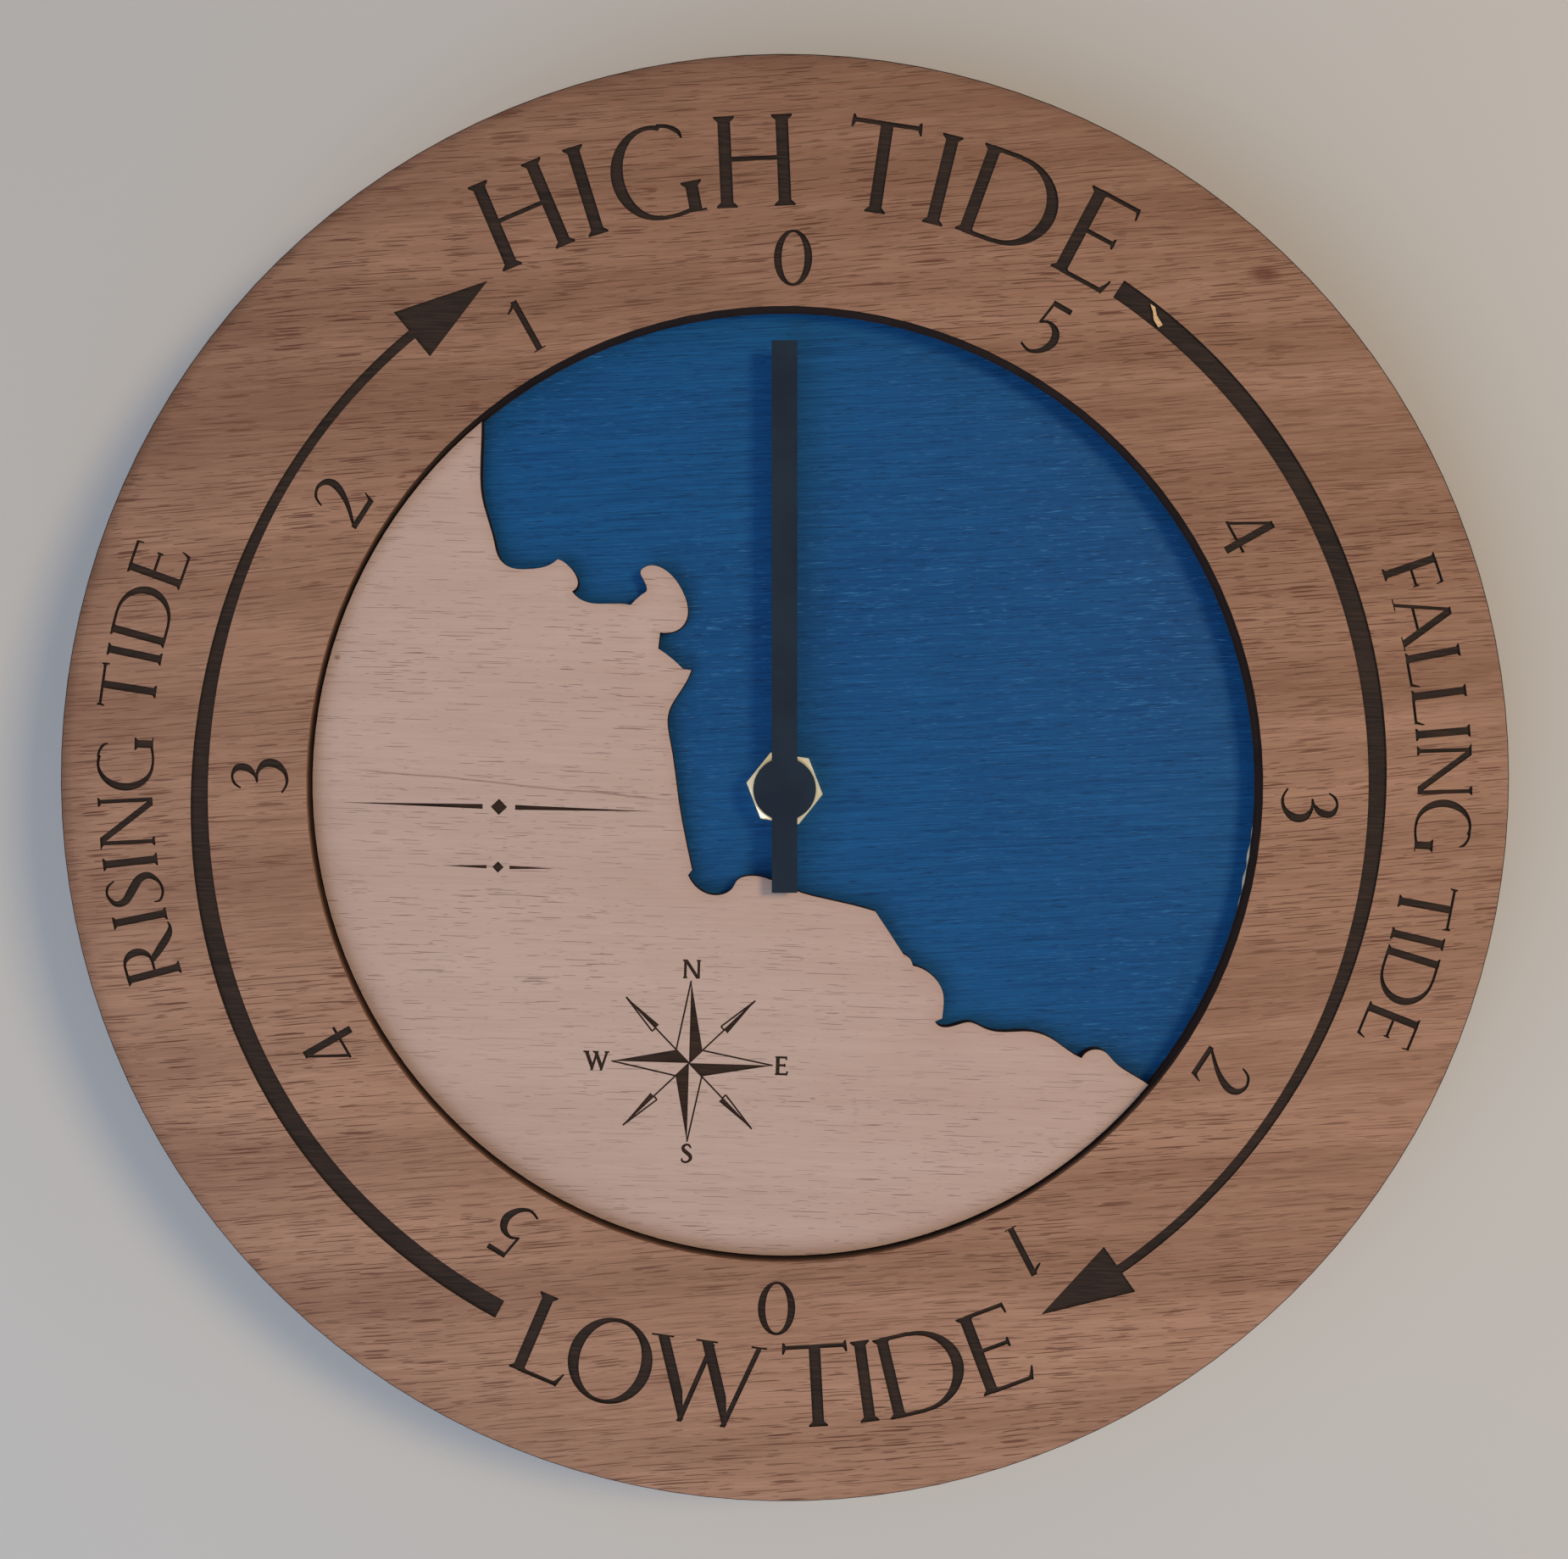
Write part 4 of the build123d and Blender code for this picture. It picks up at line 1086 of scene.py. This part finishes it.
DRIED_GLUE = ("dried_glue", (190, 178, 160), (168, 152, 130), 0.4, 0.02)
PLASTIC = 0.5
SKIN_NOISE = (2600, 2600, 2600)
BLOTCH_NOISE = (90, 90, 90)
BLOTCHES = (0.35, 0.65)
EVEN = (0.3, 0.7)
BLOTCH_ROUGHNESS = 0.06


def moulded(name, colour, deep, roughness, skin_depth, specular=PLASTIC):
    """Moulded plastic or paint with a fine spark-eroded skin and slight blotches."""
    material, tree, shader = new_material(name)
    skin = noise(tree, SKIN_NOISE, detail=2.0)
    cloud = noise(tree, BLOTCH_NOISE)
    tint = mix(span(cloud, *BLOTCHES), srgb(*colour), srgb(*deep))
    gloss = span(cloud, *EVEN, roughness - BLOTCH_ROUGHNESS, roughness + BLOTCH_ROUGHNESS)
    surface(shader, tint, gloss, bump(skin, skin_depth), specular)
    return material


# Metals: the nodes that wear it, its name, two screen colours, the roughness, and lines per metre by axis
METALS = [
    (["hand_bush", "cannon_pinion"], "brass_plain", (214, 180, 112), (190, 150, 86), 0.3, (200, 3000, 200)),
    (["dial_nut"], "nut_brass", (240, 230, 204), (222, 204, 164), 0.22, (900, 2500, 900)),
    (["hanger_bracket"], "bracket_steel", (188, 188, 184), (160, 162, 162), 0.35, (2500, 300, 300)),
    (["stator", "coil_core"], "core_steel", (150, 152, 156), (126, 128, 134), 0.35, (300, 300, 2500)),
    (["coil_winding"], "coil_copper", (200, 112, 70), (164, 84, 48), 0.3, (5000, 100, 100)),
    (["quartz_crystal"], "crystal_can", (196, 196, 194), (170, 170, 170), 0.2, (2500, 200, 200)),
    (
        ["contact_plus", "contact_minus"], "contact_steel", (196, 196, 190), (172, 172, 168), 0.25,
        (400, 400, 2500),
    ),
]
LINE_ROUGHNESS = (-0.08, 0.1)
LINE_RELIEF = 0.01


def metal(name, colour, deep, roughness, line_scale):
    """Bare metal with fine lines and a slight tarnish."""
    material, tree, shader = new_material(name)
    lines = noise(tree, line_scale)
    plug(shader, {
        "Base Color": mix(cloud_mask(tree, TARNISH), srgb(*colour), srgb(*deep)),
        "Metallic": 1.0,
        "Roughness": span(lines, *EVEN, *[roughness + change for change in LINE_ROUGHNESS]),
        "Normal": bump(lines, LINE_RELIEF),
    })
    return material


# Dry cell: colours, share of its length under the collar, and the collar's soft edge in millimetres
CELL_GREY = srgb(170, 172, 172)
CELL_SLATE = srgb(92, 104, 112)
CELL_STEEL = srgb(176, 178, 178)
COLLAR_SHARE = 0.3
COLLAR_BLUR = 0.2
CELL_ENDS = (0.8, 0.95)
SLEEVE_ROUGHNESS = 0.3
SCUFF_NOISE = (300, 1200, 1200)
SCUFF_RELIEF = 0.01


def cell_sleeve():
    """Dry cell: a pale grey sleeve with a slate collar at its button, and bare steel ends."""
    material, tree, shader = new_material("cell_sleeve")
    low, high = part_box("battery_cell")
    place = join("SeparateXYZ", {0: object_space(tree)}).outputs["X"]
    start = low.x + (high.x - low.x) * (1 - COLLAR_SHARE)
    collar = span(place, start, start + COLLAR_BLUR * MM)
    end = span(maths("ABSOLUTE", facing(tree, "X")), *CELL_ENDS)
    plug(shader, {
        "Base Color": mix(end, mix(collar, CELL_GREY, CELL_SLATE), CELL_STEEL),
        "Roughness": SLEEVE_ROUGHNESS,
        "Normal": bump(noise(tree, SCUFF_NOISE), SCUFF_RELIEF),
    })
    return material


def dress(material, names):
    """Gives CAD nodes a material."""
    for name in names:
        mesh = nodes[name].data
        mesh.materials.clear()
        mesh.materials.append(material)


# Edges of CAD nodes that are broken, by a width in millimetres
SOFT_EDGES = [
    (0.12, ["tide_hand"]),
    (0.25, ["dial_nut", "rear_cover", "setting_knob", "battery_cell"]),
    (0.4, ["movement_case"]),
]
WELD_REACH = 0.002
SHARP_ANGLE = math.radians(40)
SOFT_SEGMENTS = 2


def soften(width, names):
    """Breaks the sharp edges of CAD nodes."""
    for name in names:
        weld = nodes[name].modifiers.new("weld", "WELD")
        weld.merge_threshold = WELD_REACH * MM
        bevel = nodes[name].modifiers.new("edges", "BEVEL")
        bevel.width = width * MM
        bevel.segments = SOFT_SEGMENTS
        bevel.limit_method = "ANGLE"
        bevel.angle_limit = SHARP_ANGLE
        bevel.harden_normals = True


# The dial
ring_marks = []
for word in WORDS:
    ring_marks += arc_word(*word)
for number, turn in NUMBERS:
    out, clockwise = compass(turn)
    ring_marks += placed_letter(number, out * NUMBER_RADIUS, clockwise, out, NUMBER_HEIGHT)
for course in ARROWS:
    ring_marks += arrow(*course)
land_marks = rose()
for place, reach, height in ORNAMENTS:
    land_marks += ornament(place, reach, height)

ring_materials = [
    wood("ring_wood", RING_LOOK, [RING_KNOT]),
    charred_edge("ring_edge", "dial_ring", RING_PLIES),
    char("ring_char", *RING_CHAR),
    char("chip_wood", *CHIP_WOOD),
]
land_materials = [
    wood("land_wood", LAND_LOOK, [LAND_SPECK], [LAND_SEAM]),
    charred_edge("land_edge", "land_inlay", LAND_PLIES),
    char("land_char", *LAND_CHAR),
]
ring = engraved_plate(
    "engraved_ring", "dial_ring", ring_marks, RING_CUT, ring_materials, [VENEER_CHIP], RIM_BREAK,
)
land = engraved_plate("engraved_land", "land_inlay", land_marks, LAND_CUT, land_materials)
dress(stained_sea(), ["sea_plate"])
glue_fleck(moulded(*DRIED_GLUE))

# Hand and movement
for wearers, *finish in MOULDED:
    dress(moulded(*finish), wearers)
for wearers, *finish in METALS:
    dress(metal(*finish), wearers)
dress(cell_sleeve(), ["battery_cell"])
for width, names in SOFT_EDGES:
    soften(width, names)

# Wall and backdrop: colours, the wall's pair being painted light, brighter at the bottom and darker at the
# top; then roughness, and sizes in metres
WALL_PAINTED_BRIGHT_LOWER = srgb(180, 176, 173)
WALL_PAINTED_SHADE_UPPER = srgb(174, 170, 167)
WALL_ROUGHNESS = 0.9
WALL_GAP = 0.0005
WALL_REACH = 3.0
BACKDROP = srgb(214, 212, 209)
SKY_COLOUR = (0.677, 0.782, 1.0, 1.0)
SKY_STRENGTH = 0.53

# Lights: name, place and size in metres, power in watts, colour
LAMPS = [
    ("key", (0.68, -0.98, dial_z + 0.28), 0.3, 8.8, (1.0, 0.76, 0.4)),
    ("fill", (-0.8, -1.1, dial_z - 0.85), 1.4, 15.1, (0.74, 0.88, 1.0)),
    ("rear", (-0.7, 1.2, dial_z + 0.8), 0.9, 18, (1.0, 0.98, 0.95)),
]

# Camera: widths in the photograph's pixels, distance in metres, angles in degrees, aim in dial millimetres
IMAGE_PIXELS = 1850
RING_PIXELS = 1710
VIEW_DISTANCE = 0.326
VIEW_LIFT = 2.0
VIEW_ROLL = 1.7
AIM_RIGHT = -0.2
AIM_UP = 2.0
SENSOR = 36.0
NEAREST = 0.01


def seen_directly(tree):
    """Mask of the rays that come from the camera, straight or by a reflection."""
    path = add(tree, "LightPath").outputs
    rays = {0: path["Is Camera Ray"], 1: path["Is Glossy Ray"]}
    return join("Math", rays, operation="ADD", use_clamp=True).outputs[0]


def wall():
    """Pale wall behind the clock, there only for what looks at its front."""
    mesh = bpy.data.meshes.new("wall")
    y = cad_box[1][1] + WALL_GAP
    low = dial_z - WALL_REACH
    high = dial_z + WALL_REACH
    corners = [(-WALL_REACH, y, low), (WALL_REACH, y, low), (WALL_REACH, y, high), (-WALL_REACH, y, high)]
    mesh.from_pydata(corners, [], [(0, 1, 2, 3)])
    material, tree, shader = new_material("wall_paint")
    # Painted light: the wall is painted brighter towards the bottom and darker towards the top, as the
    # room's light falls
    shade = mix(slope(tree, 0), WALL_PAINTED_BRIGHT_LOWER, WALL_PAINTED_SHADE_UPPER)
    plug(shader, {"Base Color": shade, "Roughness": WALL_ROUGHNESS})
    back = add(tree, "NewGeometry").outputs["Backfacing"]
    solid = times(seen_directly(tree), maths("SUBTRACT", 1.0, back))
    clear = add(tree, "BsdfTransparent").outputs[0]
    blend = join("MixShader", {0: solid, 1: clear, 2: shader.outputs[0]})
    plug(tree.nodes["Material Output"], {"Surface": blend.outputs[0]})
    mesh.materials.append(material)
    plane = linked("wall", mesh)


def sky():
    """Even light from all round, over a pale backdrop."""
    world = bpy.data.worlds.new("studio")
    scene.world = world
    world.use_nodes = True
    tree = world.node_tree
    light = tree.nodes["Background"]
    plug(light, {"Color": SKY_COLOUR, "Strength": SKY_STRENGTH})
    backdrop = add(tree, "Background", {"Color": BACKDROP, "Strength": 1.0}).outputs[0]
    blend = join("MixShader", {0: seen_directly(tree), 1: light.outputs[0], 2: backdrop})
    plug(tree.nodes["World Output"], {"Surface": blend.outputs[0]})


def lamp(name, place, size, power, colour):
    """Square soft light that looks at the dial."""
    data = bpy.data.lights.new(name, "AREA")
    data.size = size
    data.energy = power
    data.color = colour
    light = linked(name, data)
    light.location = place
    aim = Vector((dial_x, ring_low.y, dial_z)) - Vector(place)
    light.rotation_euler = aim.to_track_quat("-Z", "Y").to_euler()


def camera():
    """Camera at the photograph's angle, close enough for its perspective."""
    data = bpy.data.cameras.new("camera")
    view = linked("camera", data)
    scene.camera = view
    aim = Vector((dial_x + AIM_RIGHT * MM, ring_low.y, dial_z + AIM_UP * MM))
    lift = math.radians(VIEW_LIFT)
    view.location = aim + Vector((0, -math.cos(lift), math.sin(lift))) * VIEW_DISTANCE
    towards = (aim - view.location).to_track_quat("-Z", "Y").to_matrix()
    roll = Matrix.Rotation(math.radians(VIEW_ROLL), 3, "Z")
    view.rotation_euler = (towards @ roll).to_euler()
    frame_width = 2 * ring_radius * MM * IMAGE_PIXELS / RING_PIXELS
    data.sensor_fit = "HORIZONTAL"
    data.sensor_width = SENSOR
    data.lens = SENSOR * VIEW_DISTANCE / frame_width
    data.clip_start = NEAREST


wall()
sky()
for light in LAMPS:
    lamp(*light)
camera()
scene.view_settings.view_transform = "Standard"
